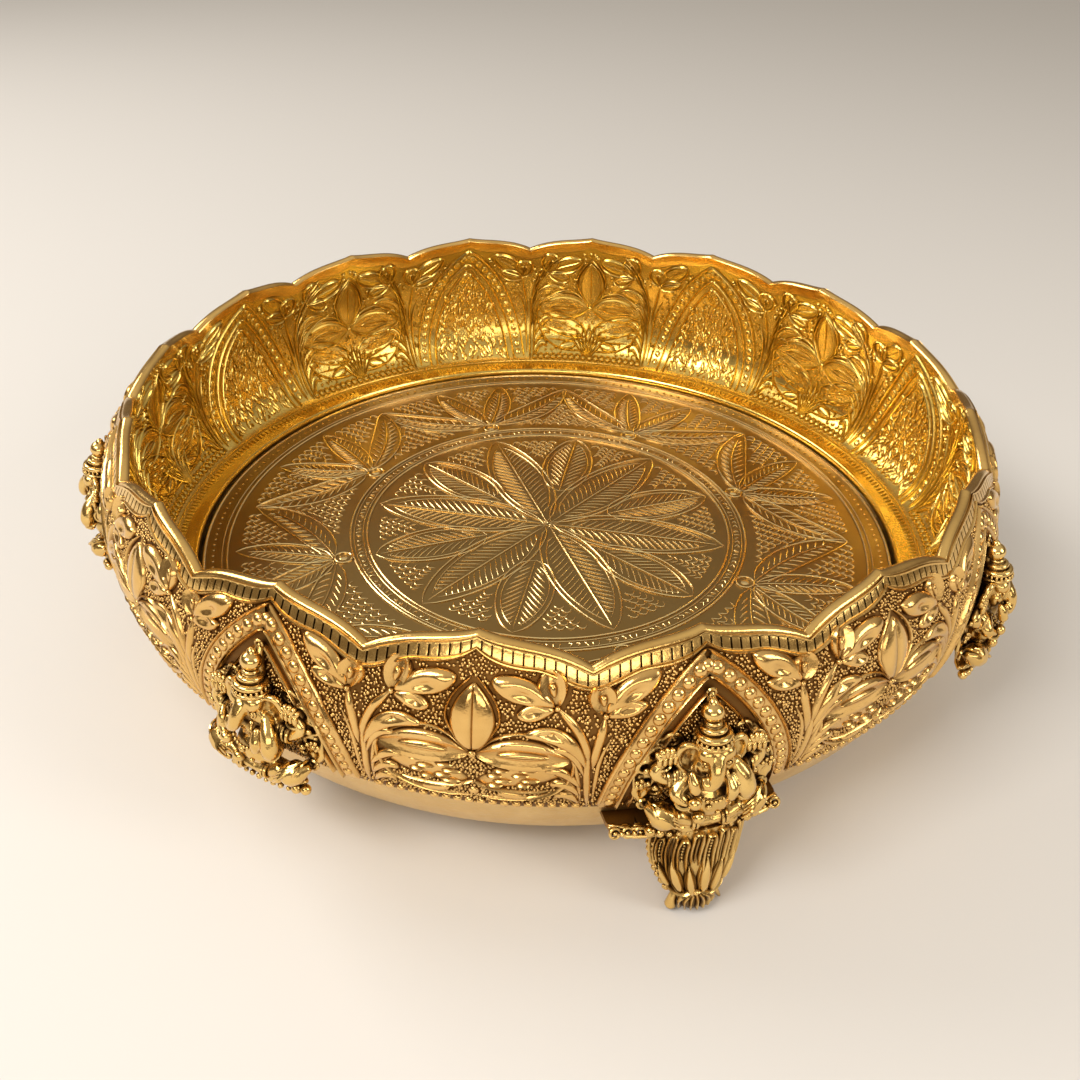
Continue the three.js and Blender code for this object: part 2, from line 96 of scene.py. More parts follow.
# %% Helpers for objects
def active(obj):
    bpy.ops.object.select_all(action="DESELECT")
    obj.select_set(True)
    bpy.context.view_layer.objects.active = obj
    return obj


def mesh_object(name, points, faces):
    """An object from points in millimetres."""
    mesh = bpy.data.meshes.new(name)
    mesh.from_pydata((np.asarray(points, float) * MM).tolist(), [], [list(map(int, f)) for f in faces])
    obj = bpy.data.objects.new(name, mesh)
    bpy.context.scene.collection.objects.link(obj)
    return obj


def quads(rings, around, closed=True):
    """Faces between rings of points that follow one another."""
    faces = []
    for i in range(rings - 1):
        for k in range(around if closed else around - 1):
            n = (k + 1) % around
            faces.append((i * around + k, i * around + n, (i + 1) * around + n, (i + 1) * around + k))
    return faces


def points_of(obj):
    """A mesh's points in millimetres."""
    flat = np.zeros(len(obj.data.vertices) * 3)
    obj.data.vertices.foreach_get("co", flat)
    return flat.reshape(-1, 3) / MM


def apply_place(obj):
    active(obj)
    bpy.ops.object.transform_apply(location=True, rotation=True, scale=True)
    return obj


def join(objects, name):
    bpy.ops.object.select_all(action="DESELECT")
    for obj in objects:
        obj.select_set(True)
    bpy.context.view_layer.objects.active = objects[0]
    bpy.ops.object.join()
    objects[0].name = objects[0].data.name = name
    return objects[0]


def add_modifier(obj, kind, **settings):
    active(obj)
    modifier = obj.modifiers.new(kind.title(), kind)
    for key, value in settings.items():
        setattr(modifier, key, value)
    bpy.ops.object.modifier_apply(modifier=modifier.name)
    return obj


def smooth(obj, degrees=40):
    active(obj)
    bpy.ops.object.shade_smooth_by_angle(angle=math.radians(degrees))
    return obj


def face_outwards(obj):
    active(obj)
    bpy.ops.object.mode_set(mode="EDIT")
    bpy.ops.mesh.select_all(action="SELECT")
    bpy.ops.mesh.remove_doubles(threshold=1e-6)
    bpy.ops.mesh.normals_make_consistent(inside=False)
    bpy.ops.object.mode_set(mode="OBJECT")
    return obj


def mark_relief(obj, values):
    """Writes on each point how high the relief stands there, for the finish to paint low places darker as
    shade.
    """
    height = obj.data.attributes.new("relief", "FLOAT", "POINT")
    height.data.foreach_set("value", np.asarray(values, np.float32))


def turned_copy(obj, name, angle):
    """A copy with its own mesh, turned about the bowl's axis."""
    copy = obj.copy()
    copy.data = obj.data.copy()
    copy.name = copy.data.name = name
    bpy.context.scene.collection.objects.link(copy)
    copy.data.transform(Matrix.Rotation(angle, 4, "Z"))
    return copy


# %% [markdown]
# ## Finishes
# All of it is brass, but no two parts shine alike. Polish reaches the high places only, and the hollows keep
# a brown film; the dark of that film also paints in the shade that falls in the hollows. A picture could hold
# that, but it would not fit the relief, so the film and painted shade follow a value that the relief itself
# writes on its points, and the cast pieces use how enclosed a point is.

# %% The brass
def node(tree, kind, **settings):
    made = tree.nodes.new(kind)
    for key, value in settings.items():
        if key in made.inputs:
            made.inputs[key].default_value = value
        else:
            setattr(made, key, value)
    return made


def ramp(tree, factor, low, high, low_colour, high_colour):
    made = tree.nodes.new("ShaderNodeValToRGB")
    made.color_ramp.elements[0].position = low
    made.color_ramp.elements[1].position = high
    made.color_ramp.elements[0].color = (*low_colour, 1)
    made.color_ramp.elements[1].color = (*high_colour, 1)
    tree.links.new(factor, made.inputs["Fac"])
    return made.outputs["Color"]


def mixed(tree, factor, first, second, blend="MIX"):
    made = tree.nodes.new("ShaderNodeMix")
    made.data_type = "RGBA"
    made.blend_type = blend
    for socket, value in ((made.inputs[0], factor), (made.inputs[6], first), (made.inputs[7], second)):
        if isinstance(value, bpy.types.NodeSocket):
            tree.links.new(value, socket)
        else:
            socket.default_value = (*value, 1) if isinstance(value, tuple) else value
    return made.outputs[2]


def brass(name, bright, film_and_shade, roughness, relief=None, ground=0.1, grain=0.012, reach=0.0025, dull_film=0.22):
    """Brass with painted shade and a brown film in its hollows, both laid in as the dark second colour.
    relief names the point value that says how high a place is, ground is what a low place keeps of the bright
    colour, and dull_film is how much rougher the film is."""
    material = bpy.data.materials.new(name)
    material.use_nodes = True
    tree = material.node_tree
    shader = tree.nodes["Principled BSDF"]
    shader.inputs["Metallic"].default_value = 1
    where = node(tree, "ShaderNodeTexCoord").outputs["Object"]

    def noise(**settings):
        made = node(tree, "ShaderNodeTexNoise", **settings)
        tree.links.new(where, made.inputs["Vector"])
        return made.outputs["Fac"]

    paler = tuple(min(1, c * 1.09) for c in bright)
    warmer = (bright[0] * 0.94, bright[1] * 0.88, bright[2] * 0.78)
    colour = ramp(tree, noise(Scale=60, Detail=4, Roughness=0.6), 0.35, 0.68, warmer, paler)

    # painted shade: where a point is enclosed, its colour goes over to the dark film, which stands in for the
    # shade of the hollow as well as for a brown film
    hollow = node(tree, "ShaderNodeAmbientOcclusion", Distance=reach, samples=8)
    shade = ramp(tree, hollow.outputs["AO"], 0.28, 0.86, (0, 0, 0), (1, 1, 1))
    # painted shade: low places of the relief keep only the ground share of the bright colour
    if relief:
        height = node(tree, "ShaderNodeAttribute", attribute_name=relief)
        raised = ramp(tree, height.outputs["Fac"], 0.0, 0.4, (ground,) * 3, (1, 1, 1))
        shade = mixed(tree, 1.0, shade, raised, "MULTIPLY")
    tree.links.new(mixed(tree, shade, film_and_shade, colour), shader.inputs["Base Color"])

    low, high = roughness
    dull = ramp(tree, noise(Scale=260, Detail=3), 0.3, 0.75, (low,) * 3, (high,) * 3)
    dull = mixed(tree, shade, (min(1, high + dull_film),) * 3, dull)
    tree.links.new(dull, shader.inputs["Roughness"])

    bump = node(tree, "ShaderNodeBump", Strength=0.5, Distance=grain * 0.01)
    tree.links.new(noise(Scale=900, Detail=3), bump.inputs["Height"])
    tree.links.new(bump.outputs["Normal"], shader.inputs["Normal"])
    return material


# the second colour of each brass is its dark film, painted into the hollows as shade as well as film
outer_brass = brass("embossed_brass", (0.80, 0.52, 0.19), (0.13, 0.05, 0.008), (0.14, 0.26), relief="relief")
inner_brass = brass("inner_brass", (0.90, 0.66, 0.18), (0.36, 0.20, 0.015), (0.15, 0.26), relief="relief",
                    ground=0.3)
rim_brass = brass("rim_brass", (0.86, 0.57, 0.20), (0.10, 0.04, 0.008), (0.16, 0.26))
floor_brass = brass("floor_brass", (0.96, 0.73, 0.36), (0.26, 0.145, 0.035), (0.15, 0.26), relief="relief",
                    ground=0.13, reach=0.0012, dull_film=0.1)
pan_brass = brass("satin_brass", (0.78, 0.56, 0.24), (0.30, 0.17, 0.05), (0.30, 0.42), grain=0.03)
cast_brass = brass("cast_brass", (0.80, 0.55, 0.20), (0.10, 0.04, 0.008), (0.13, 0.24), reach=0.004)
# painted shade: a darker brass for the seat slabs, whose tops lie in shade under the figures
painted_shade_brass = brass("painted_shade_brass", (0.42, 0.23, 0.06), (0.06, 0.025, 0.006), (0.28, 0.40), reach=0.012)
print("finishes:", [m.name for m in bpy.data.materials])


def dress(obj, material, slot, *cad_nodes):
    """Gives a finished piece its material and its body, and hides the solid that it stands for."""
    obj.data.materials.clear()
    obj.data.materials.append(material)
    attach(obj, "root")
    if cad_nodes:
        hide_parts(*cad_nodes)
    print(obj.name, len(obj.data.polygons), "faces")
    return obj


# %% [markdown]
# ## The wall's curve
# Seen from the side the wall bulges at its belly and leans in above it. A pattern is easiest to draw flat,
# so the curve is measured along its length: a flat panel has u across, v up along the curve from the seam,
# and h out of the metal. One function then lays any flat panel on the outside or the inside of the wall.

# %% Side view of the wall
BELLY_HEIGHT = 60
RIM_INSET = 11
THICKNESS = 2.4
BAY_HALF = math.pi * BELLY / BAYS            # half the width of a bay, along the belly


def wall_radius(z):
    above = BELLY - RIM_INSET * ((z - BELLY_HEIGHT) / (RIM - BELLY_HEIGHT)) ** 2
    below = BELLY - SEAM_INSET * ((BELLY_HEIGHT - z) / (BELLY_HEIGHT - SEAM)) ** 2
    return np.where(z > BELLY_HEIGHT, above, below)


curve_z = np.linspace(SEAM, RIM, 400)
curve_r = wall_radius(curve_z)
curve_v = np.concatenate([[0], np.cumsum(np.hypot(np.diff(curve_z), np.diff(curve_r)))])
WALL_LENGTH = curve_v[-1]
slope_r = np.gradient(curve_r, curve_v)
slope_z = np.gradient(curve_z, curve_v)


def arc_of(z):
    return np.interp(z, curve_z, curve_v)


def around_axis(r, theta, z):
    """Points at radius r and height z, theta being the angle from -Y towards +X."""
    return np.stack([r * np.sin(theta), -r * np.cos(theta), z], -1)


def wrap(flat, angle=0.0):
    """Lays flat points (u, v, h) on the outside, with the panel's middle at the angle."""
    u, v, h = np.asarray(flat, float).T
    r = np.interp(v, curve_v, curve_r) + np.interp(v, curve_v, slope_z) * h
    z = np.interp(v, curve_v, curve_z) - np.interp(v, curve_v, slope_r) * h
    return around_axis(r, angle + u / BELLY, z)


print("wall length from seam to point", round(WALL_LENGTH, 1), "mm")

# %% [markdown]
# The edge has sixteen scallops. Each rises steeply out of its notch, runs in a round shoulder and sweeps up
# to a point. The foot of the slit band below it is a flatter wave of the same beat.

# %% The scalloped edge
SCALLOP = 7.2
SHOULDER = 0.72
BAND_AT_POINT = 3.3
BAND_FOOT = 8.8


def edge_height(rise):
    rise = np.asarray(rise, float)
    shoulder = SHOULDER * (1 - (1 - rise) ** 3.2)
    return RIM - SCALLOP * (1 - shoulder - (1 - SHOULDER) * rise ** 4)


def band_foot(rise):
    rise = np.asarray(rise, float)
    half = np.minimum(1, 2 * rise)
    share = (half * half * (3 - 2 * half) + rise ** 5) / 2
    return RIM - BAND_AT_POINT - BAND_FOOT * (1 - share)


def rise_at(theta):
    """0 in a notch, 1 at a point."""
    turn = (np.asarray(theta) / BAY) % 1
    return np.abs(1 - 2 * turn)


# %% [markdown]
# ## Strokes
# A silversmith raises this pattern with a few punches: a leaf-shaped one, a lining tool, a bead punch and a
# small ring for the ground. Here each punch is a short function. A leaf starts as a grid, its points are
# spread along a curved spine and domed. Cutting leaves out of the sheet and bevelling them would also do,
# but a grid gives the soft swell with a crisp foot that beaten brass has.

# %% Curves and strokes in the flat
def bezier(points, steps):
    points = np.asarray(points, float)
    t = np.linspace(0, 1, steps)[:, None]
    n = len(points) - 1
    return sum(math.comb(n, i) * t ** i * (1 - t) ** (n - i) * points[i] for i in range(n + 1))


def through(points, steps):
    """A smooth curve through all the points."""
    points = np.asarray(points, float)
    padded = np.concatenate([[2 * points[0] - points[1]], points, [2 * points[-1] - points[-2]]])
    out = []
    for where in np.linspace(0, len(points) - 1, steps):
        i = min(int(where), len(points) - 2)
        t = where - i
        a, b, c, d = padded[i:i + 4]
        out.append(0.5 * (2 * b + (c - a) * t + (2 * a - 5 * b + 4 * c - d) * t * t
                          + (3 * b - a - 3 * c + d) * t ** 3))
    return np.array(out)


def normals_of(spine):
    along = np.gradient(spine, axis=0)
    along /= np.linalg.norm(along, axis=1)[:, None] + 1e-12
    return np.stack([-along[:, 1], along[:, 0]], -1)


def leaf_outline(t, blunt):
    """Half the width of a leaf, at most 1, along t from 0 to 1. blunt says how its ends close: 0.5 is round,
    1 and more is pointed."""
    start, end = blunt
    peak = start / (start + end)
    return t ** start * (1 - t) ** end / (peak ** start * (1 - peak) ** end)


def hill(x, middle, spread):
    return np.exp(-((x - middle) / spread) ** 2)


SINK = 0.35                                  # how deep a stroke's foot is set into the sheet


class Panel:
    """Flat strokes that make one pattern: points (u, v, h), faces, and the ground that they cover."""

    def __init__(self):
        self.points = []
        self.faces = []
        self.count = 0
        self.covers = []

    def add(self, points, faces):
        points = np.asarray(points, float)
        self.points.append(points)
        self.faces.extend(tuple(i + self.count for i in face) for face in faces)
        self.count += len(points)

    def all_points(self):
        return np.concatenate(self.points)

    def strip(self, spine, widths, section, cover=True):
        """A band along a spine. section holds the places across, from -1 to 1, and the heights there."""
        across = normals_of(spine)
        points = []
        for i in range(len(spine)):
            for s, h in zip(section[0], section[1][i]):
                spot = spine[i] - across[i] * s * widths[i]
                points.append((spot[0], spot[1], h))
        self.add(points, quads(len(spine), len(section[0]), closed=False))
        if cover:
            self.covers.append((spine, widths))

    def leaf(self, points, half_width, rise, blunt=(0.5, 1.1), frame=False, rib=0.0, pit=None, steps=14):
        """A leaf. frame leaves a thick border round a hollow, rib is a midrib or, below 0, a groove, and
        pit is a dent: (t, s, depth, length, width)."""
        spine = bezier(points, steps)
        t = np.linspace(0, 1, steps)
        width = np.maximum(leaf_outline(t, blunt), 0.02) * half_width
        s = np.array([-1, -0.93, -0.76, -0.52, -0.26, 0, 0.26, 0.52, 0.76, 0.93, 1])
        if rib:
            s = np.array([-1, -0.93, -0.7, -0.4, -0.12, 0, 0.12, 0.4, 0.7, 0.93, 1])
        swell = (width / half_width) ** 0.5
        across = 0.2 + 0.8 * hill(abs(s), 0.7, 0.26) if frame else (1 - s * s) ** 0.5
        heights = rise * swell[:, None] * across[None, :]
        heights[:, 5] += rib * swell
        if pit:
            where, side, depth, length, wide = pit
            bowl = hill(t, where, length)[:, None] * hill(s, side, wide)
            brim = hill(t, where, 1.7 * length)[:, None] * hill(s, side, 1.7 * wide)
            heights += 0.5 * depth * brim - 1.5 * depth * bowl
            heights = np.maximum(heights, 0.05)
        heights[:, 0] = heights[:, -1] = -SINK
        heights[0] = heights[-1] = -SINK
        self.strip(spine, width, (s, heights))

    def ridge(self, points, half_width, rise, steps=16, taper=0.12, cover=True):
        """A raised line through the points, drawn out thin at its ends."""
        t = np.linspace(0, 1, steps)
        fade = np.clip(np.minimum(t, 1 - t) / taper, 0.12, 1) ** 0.6 if taper else np.ones(steps)
        s = np.array([-1, -0.62, 0, 0.62, 1])
        section = np.array([-SINK / rise, 0.72, 1, 0.72, -SINK / rise])
        heights = rise * fade[:, None] * section[None, :]
        self.strip(through(points, steps), half_width * fade, (s, heights), cover)

    def bead(self, centre, radii, rise, turn=0.0, segments=10, rings=3, cover=True):
        """A domed bead, round or drawn out."""
        a, b = radii
        points = []
        for row in range(rings):
            lift = row / rings
            spread = math.sqrt(1 - lift ** 2)
            for k in range(segments):
                phi = 2 * math.pi * k / segments
                x, y = a * spread * math.cos(phi), b * spread * math.sin(phi)
                u = centre[0] + x * math.cos(turn) - y * math.sin(turn)
                v = centre[1] + x * math.sin(turn) + y * math.cos(turn)
                points.append((u, v, rise * lift if row else -SINK))
        points.append((centre[0], centre[1], rise))
        last = (rings - 1) * segments
        tip = [(last + k, last + (k + 1) % segments, len(points) - 1) for k in range(segments)]
        self.add(points, quads(rings, segments) + tip)
        if cover:
            reach = np.array([math.cos(turn), math.sin(turn)]) * max(a - b, 0)
            spine = np.array([np.array(centre) - reach, np.array(centre), np.array(centre) + reach])
            self.covers.append((spine, np.full(3, b)))

    def keep_clear(self, points, half_width):
        """Ground that stays smooth."""
        self.covers.append((through(points, 50), np.full(50, half_width)))

    def is_free(self, spots, margin):
        """Which spots lie on bare ground, clear of every stroke by the margin."""
        spots = np.asarray(spots, float)
        free = np.ones(len(spots), bool)
        for spine, widths in self.covers:
            distance = np.linalg.norm(spots[:, None, :] - spine[None, :, :], axis=2)
            free &= ~(distance < widths[None, :] + margin).any(axis=1)
        return free


# %% [markdown]
# ## Cast parts from simple shapes
# The figures and legs are small castings. A sculptor builds one up in wax from balls and rolls, and that is
# done here: round primitives are added where they belong and joined, one voxel remesh melts them into a
# single skin, and crisp beads and rings go on top afterwards, as a caster sharpens a wax.

# %% Wax balls, rods, rings and rolls
def place(across, out, up):
    """A point of a part that faces -Y: across to the right, out from the bowl's axis, and up."""
    return Vector((across, -out, up)) * MM


def ball(across, out, up, half_width, half_depth, half_height, tilt=0, roll=0, fine=14):
    bpy.ops.mesh.primitive_uv_sphere_add(
        segments=fine, ring_count=max(5, fine * 2 // 3), radius=MM, location=place(across, out, up),
        rotation=(math.radians(tilt), math.radians(roll), 0), scale=(half_width, half_depth, half_height))
    return bpy.context.object


def ring(across, out, up, radius, thickness, tilt=0, roll=0, turn=0, fine=(20, 8)):
    bpy.ops.mesh.primitive_torus_add(
        location=place(across, out, up), rotation=tuple(map(math.radians, (tilt, roll, turn))),
        major_radius=radius * MM, minor_radius=thickness * MM,
        major_segments=fine[0], minor_segments=fine[1])
    return bpy.context.object


def roll_of_wax(points, radii, sides=10, steps=14, mirror=1):
    """A tapering roll through points (across, out, up), with rounded ends. mirror=-1 sets it on the left."""
    spine = through([(mirror * x, -out, up) for x, out, up in points], steps)
    thick = np.interp(np.linspace(0, 1, steps), np.linspace(0, 1, len(radii)), radii)
    along = np.gradient(spine, axis=0)
    along /= np.linalg.norm(along, axis=1)[:, None]
    start, end = spine[0] - along[0] * thick[0] * 0.6, spine[-1] + along[-1] * thick[-1] * 0.6
    spine = np.concatenate([[start], spine, [end]])
    along = np.concatenate([[along[0]], along, [along[-1]]])
    thick = np.concatenate([[thick[0] * 0.6], thick, [thick[-1] * 0.6]])
    side = Vector(along[0]).orthogonal().normalized()
    rows = []
    for spot, way, radius in zip(spine, along, thick):
        way = Vector(way)
        side = (side - way * side.dot(way)).normalized()
        other = way.cross(side)
        for k in range(sides):
            phi = 2 * math.pi * k / sides
            rows.append(tuple(Vector(spot) + (side * math.cos(phi) + other * math.sin(phi)) * radius))
    last = (len(spine) - 1) * sides
    caps = [tuple(range(sides - 1, -1, -1)), tuple(range(last, last + sides))]
    return mesh_object("roll", rows, quads(len(spine), sides) + caps)


def melt(objects, name, voxel):
    """Joins wax shapes and gives them one skin."""
    body = join([apply_place(o) for o in objects], name)
    add_modifier(body, "REMESH", mode="VOXEL", voxel_size=voxel * MM)
    add_modifier(body, "SMOOTH", factor=0.5, iterations=2)
    return body


# %% [markdown]
# ## The seated figure
# A four-armed figure with an elephant's head sits cross-legged under a tiered crown, in front of an open
# screen. It is modelled once, facing -Y, and copied round the bowl. Its back leans on the wall and its seat
# is a cushion with a row of beads. A wax shape's first three numbers say where it is: across, out and up.

# %% Body of the figure
soft = [
    ball(0, 166.0, 36.6, 15.8, 4.0, 3.1),
    ball(0.2, 167.2, 46.4, 7.6, 5.8, 6.6),
    ball(0, 166.2, 54.4, 7.0, 5.2, 4.8),
    ball(0, 166.8, 62.4, 5.6, 5.2, 5.6),
    ball(0, 166.6, 65.4, 5.4, 4.9, 3.4),
    ball(-2.3, 169.8, 64.8, 3.2, 2.6, 2.8),
    ball(2.3, 169.8, 64.8, 3.2, 2.6, 2.8),
    ball(-3.5, 169.4, 60.4, 2.8, 2.4, 3.2),
    ball(3.3, 169.2, 60.4, 2.6, 2.3, 3.1),
    roll_of_wax([(-0.2, 170.8, 64.0), (-0.8, 173.0, 61.4), (-1.4, 173.9, 58.8), (-2.6, 174.0, 57.0),
                 (-4.0, 173.8, 57.6), (-4.4, 173.0, 59.2)], [2.5, 2.3, 2.0, 1.7, 1.3, 0.8]),
    roll_of_wax([(-17.0, 167.2, 44.8), (-14.6, 168.6, 43.8), (-12.0, 169.6, 42.2), (-9.6, 170.0, 41.0)],
                [1.6, 3.9, 4.0, 2.0]),
    roll_of_wax([(17.2, 167.0, 44.4), (14.8, 168.4, 43.4), (12.2, 169.4, 41.8), (9.8, 169.8, 40.8)],
                [1.6, 3.7, 3.8, 1.9]),
    roll_of_wax([(-9, 169.4, 42.2), (-5, 170.2, 40.6), (0, 170.6, 39.6)], [2.4, 1.9, 1.2]),
    roll_of_wax([(9, 169.2, 41.8), (5, 170.0, 40.2), (0.6, 170.4, 39.0)], [2.4, 1.9, 1.2]),
    ball(-6.2, 170.4, 38.0, 3.2, 1.6, 1.5, roll=10),
    ball(6.4, 170.0, 37.6, 3.2, 1.6, 1.5, roll=-10),
    roll_of_wax([(-5.8, 166, 57), (-11.4, 166.6, 54.8), (-15.4, 166, 57.2), (-13.2, 165.8, 60.2)],
                [2.5, 2.2, 2.0, 1.6]),
    roll_of_wax([(5.8, 166, 57), (11.2, 166.4, 54.6), (15.0, 165.6, 57.4), (13.4, 165.4, 60.6)],
                [2.5, 2.2, 2.0, 1.6]),
    roll_of_wax([(-6.4, 167.6, 55.0), (-10.2, 169.8, 52.0), (-8.0, 172.2, 49.6)], [2.5, 2.4, 1.6]),
    roll_of_wax([(5.6, 168.4, 60.0), (8.0, 171.0, 56.6), (9.0, 172.2, 52.4), (8.4, 172.0, 48.6)],
                [1.7, 2.6, 2.9, 1.8]),
    roll_of_wax([(4.0, 171.4, 56.6), (4.7, 173.0, 53.4), (4.3, 173.2, 50.4)], [1.3, 2.0, 1.5]),
]
for side in (-1, 1):
    soft += [
        roll_of_wax([(4.8, 168.0, 66.4), (8.0, 167.0, 66.6), (9.8, 166.4, 63.0), (8.8, 166.6, 59.0),
                     (5.8, 167.8, 57.0)], [0.9, 1.2, 1.3, 1.2, 0.8], mirror=side),
        ball(side * 7.0, 166.4, 62, 2.6, 0.8, 4.0),
    ]
figure_body = melt(soft, "figure_body", 0.46)
print("figure body", len(figure_body.data.polygons), "faces")

# %% [markdown]
# Behind the arms stands a screen of open rings and curls. The same rings are set on both sides, since the
# eye reads them as one lace.

# %% Open lace behind the figure
LACE = ((17.6, 163.6, 57.4, 2.0), (14.8, 163.8, 61.8, 2.2), (16.8, 164.0, 52.6, 1.8),
        (13.4, 163.8, 55.2, 1.6), (18.4, 163.9, 48.4, 1.9), (14.2, 164.2, 48.4, 1.8),
        (10.2, 163.2, 65.6, 2.2), (11.6, 163.6, 52.0, 1.4))
screen = []
for side in (-1, 1):
    for x, out, up, size in LACE:
        screen.append(ring(side * x, out, up, size, 0.78, tilt=90, turn=side * 8))
    screen += [
        roll_of_wax([(9, 161.8, 60), (16, 162.4, 56), (18.6, 163.2, 50), (15, 164, 43)],
                    [1.0, 0.9, 0.9, 1.0], sides=8, mirror=side),
        roll_of_wax([(6, 161.6, 68), (12, 162, 66.6), (17, 162.6, 62), (19.8, 163, 56), (19.6, 163.6, 49),
                     (17.4, 164.4, 43)], [0.8, 0.9, 0.9, 0.9, 0.9, 1.0], sides=8, steps=20, mirror=side),
    ]
screen.append(roll_of_wax([(0, 161.2, 79), (0, 163.2, 74), (0, 163.8, 66), (0, 163.8, 58)],
                          [1.2, 2.0, 2.6, 3.4]))
screen_body = melt(screen, "screen", 0.42)
print("screen", len(screen_body.data.polygons), "faces")

# %% [markdown]
# Crisp parts come last: the crown's tiers, eyes, bead strings, arm rings, sweets, petals of the raised buds
# and the bead row of the seat.

# %% Crown, jewels and beads
crisp = [
    ring(-0.1, 167.0, 67.0, 4.9, 0.75, tilt=-8),
    ring(-0.2, 166.8, 69.2, 4.1, 1.15, tilt=-8),
    ring(-0.3, 166.4, 71.2, 2.9, 0.95, tilt=-8),
    ring(-0.4, 166.0, 72.7, 1.8, 0.7, tilt=-8, fine=(16, 8)),
    ball(-0.3, 166.4, 70.0, 3.6, 3.6, 2.8),
    ball(-0.5, 165.1, 75.5, 3.2, 3.2, 2.9, tilt=-12, fine=22),
    ball(-0.5, 164.7, 77.5, 1.5, 1.5, 2.2, tilt=-12),
    ring(0, 161.9, 79.4, 1.1, 0.5, tilt=90, fine=(14, 6)),
]
for k in range(14):
    phi = math.radians(-112 + 224 * k / 13)
    crisp.append(ball(-0.2 + 5.0 * math.sin(phi), 166.9 + 5.0 * math.cos(phi), 68.2,
                      0.58, 0.55, 1.0, fine=8))
for side in (-1, 1):
    crisp += [
        ball(side * 3.1, 171.4, 62.0, 0.95, 0.5, 0.62),
        ring(side * 3.1, 171.3, 62.0, 1.3, 0.3, tilt=90, fine=(14, 6)),
        roll_of_wax([(1.2, 171.9, 63.9), (3.2, 171.6, 64.3), (5, 170.2, 63.3)], [0.3, 0.42, 0.3],
                    sides=6, steps=6, mirror=side),
        roll_of_wax([(2.6, 171.4, 59.0), (3.3, 173.0, 57.2)], [0.8, 0.45], sides=8, steps=4, mirror=side),
    ]
for k in range(17):
    phi = math.pi * k / 16
    crisp.append(ball(6.4 * math.cos(phi), 170.0 + 3.4 * math.sin(phi), 55.6 - 6.0 * math.sin(phi),
                      0.62, 0.62, 0.62, fine=8))
crisp += [
    roll_of_wax([(-7.4, 171.6, 60.4), (-7.0, 172.8, 58.2), (-6.5, 173.4, 55.8)], [0.8, 1.5, 1.7],
                sides=12, steps=9),
    ball(-6.3, 173.6, 50.8, 1.9, 1.8, 1.9, fine=16),
    ball(-3.9, 172.4, 43.4, 1.9, 1.8, 1.9, fine=16),
    ball(-1.6, 172.9, 47.4, 1.0, 0.8, 1.0, fine=10),
    ball(1.4, 172.6, 44.4, 0.8, 0.8, 0.8, fine=10),
]
for side in (-1, 1):
    bud = (side * 12.8, 165.8, 62.4)
    for k in range(5):
        phi = math.radians(-60 + 30 * k)
        crisp.append(ball(bud[0] + 2.0 * math.sin(phi), bud[1] + 0.6, bud[2] + 1.7 * math.cos(phi),
                          1.05, 1.25, 2.1, roll=math.degrees(phi) * 0.7, fine=12))
    for k in range(4):
        crisp.append(ball(bud[0] + 1.5 * (k - 1.5), bud[1] + 1.5, bud[2] - 0.4, 0.85, 0.9, 1.7, fine=10))
    crisp += [
        ring(side * 13.2, 165.9, 59.4, 1.9, 0.55, roll=side * 20, fine=(14, 6)),
        ring(side * 9.4, 166.5, 55.4, 2.5, 0.5, roll=90 - side * 15, fine=(16, 6)),
        ring(side * 10.8, 166.6, 55.0, 2.4, 0.5, roll=90 - side * 10, fine=(16, 6)),
        ring(side * 12.2, 166.6, 55.0, 2.4, 0.5, roll=90, fine=(16, 6)),
        ring(side * 8.6, 171.6, 50.4, 2.4, 0.5, tilt=24, roll=side * 16, fine=(16, 6)),
        ring(side * 15.4, 168.2, 44.2, 3.3, 0.45, roll=90 + side * 24, fine=(20, 6)),
        ring(side * 5.0, 170.4, 40.4, 2.1, 0.5, roll=90, fine=(16, 6)),
        ring(side * 3.8, 170.5, 40.1, 2.0, 0.45, roll=90, fine=(16, 6)),
        ring(side * 17.6, 164.9, 44.4, 1.5, 0.55, tilt=90, fine=(14, 6)),
        ball(side * 17.6, 165.2, 57.4, 0.9, 0.8, 0.9, fine=10),
        ball(side * 16.8, 165.4, 52.6, 0.8, 0.8, 0.8, fine=10),
        ball(side * 14.6, 165.4, 50.4, 1.1, 1.0, 1.1, fine=10),
    ]
    for k in range(4):
        crisp.append(roll_of_wax([(16.0 - 0.5 * k, 168.4 + 0.8 * k, 47.4 - 0.6 * k),
                                  (13.2 - 0.6 * k, 171.0 + 0.8 * k, 46.0 - 1.0 * k),
                                  (10.2 - 0.4 * k, 171.8 + 0.4 * k, 43.8 - 1.1 * k)], [0.3, 0.55, 0.3],
                                 sides=6, steps=8, mirror=side))
    for k in range(5):
        phi = 2 * math.pi * k / 5
        crisp.append(ball(side * 19.0 + 1.2 * math.cos(phi), 165.2, 52.6 + 1.2 * math.sin(phi),
                          0.75, 0.6, 0.75, fine=8))
    crisp.append(ball(side * 19.0, 165.6, 52.6, 0.7, 0.7, 0.7, fine=8))
for k in range(13):
    across = -15.6 + 2.6 * k
    size = (0.9, 0.7, 0.85)[k % 3] * (1.9 if abs(across) > 11 else 1.1)
    out = 165.8 + 4.0 * math.sqrt(max(0, 1 - (across / 17) ** 2))
    crisp.append(ball(across, out, 33.7 + size, size, size, size, fine=10))
figure_detail = join([apply_place(o) for o in crisp], "figure_detail")
figure = join([figure_body, screen_body, figure_detail], "figure")
smooth(figure, 50)
print("figure", len(figure.data.polygons), "faces")

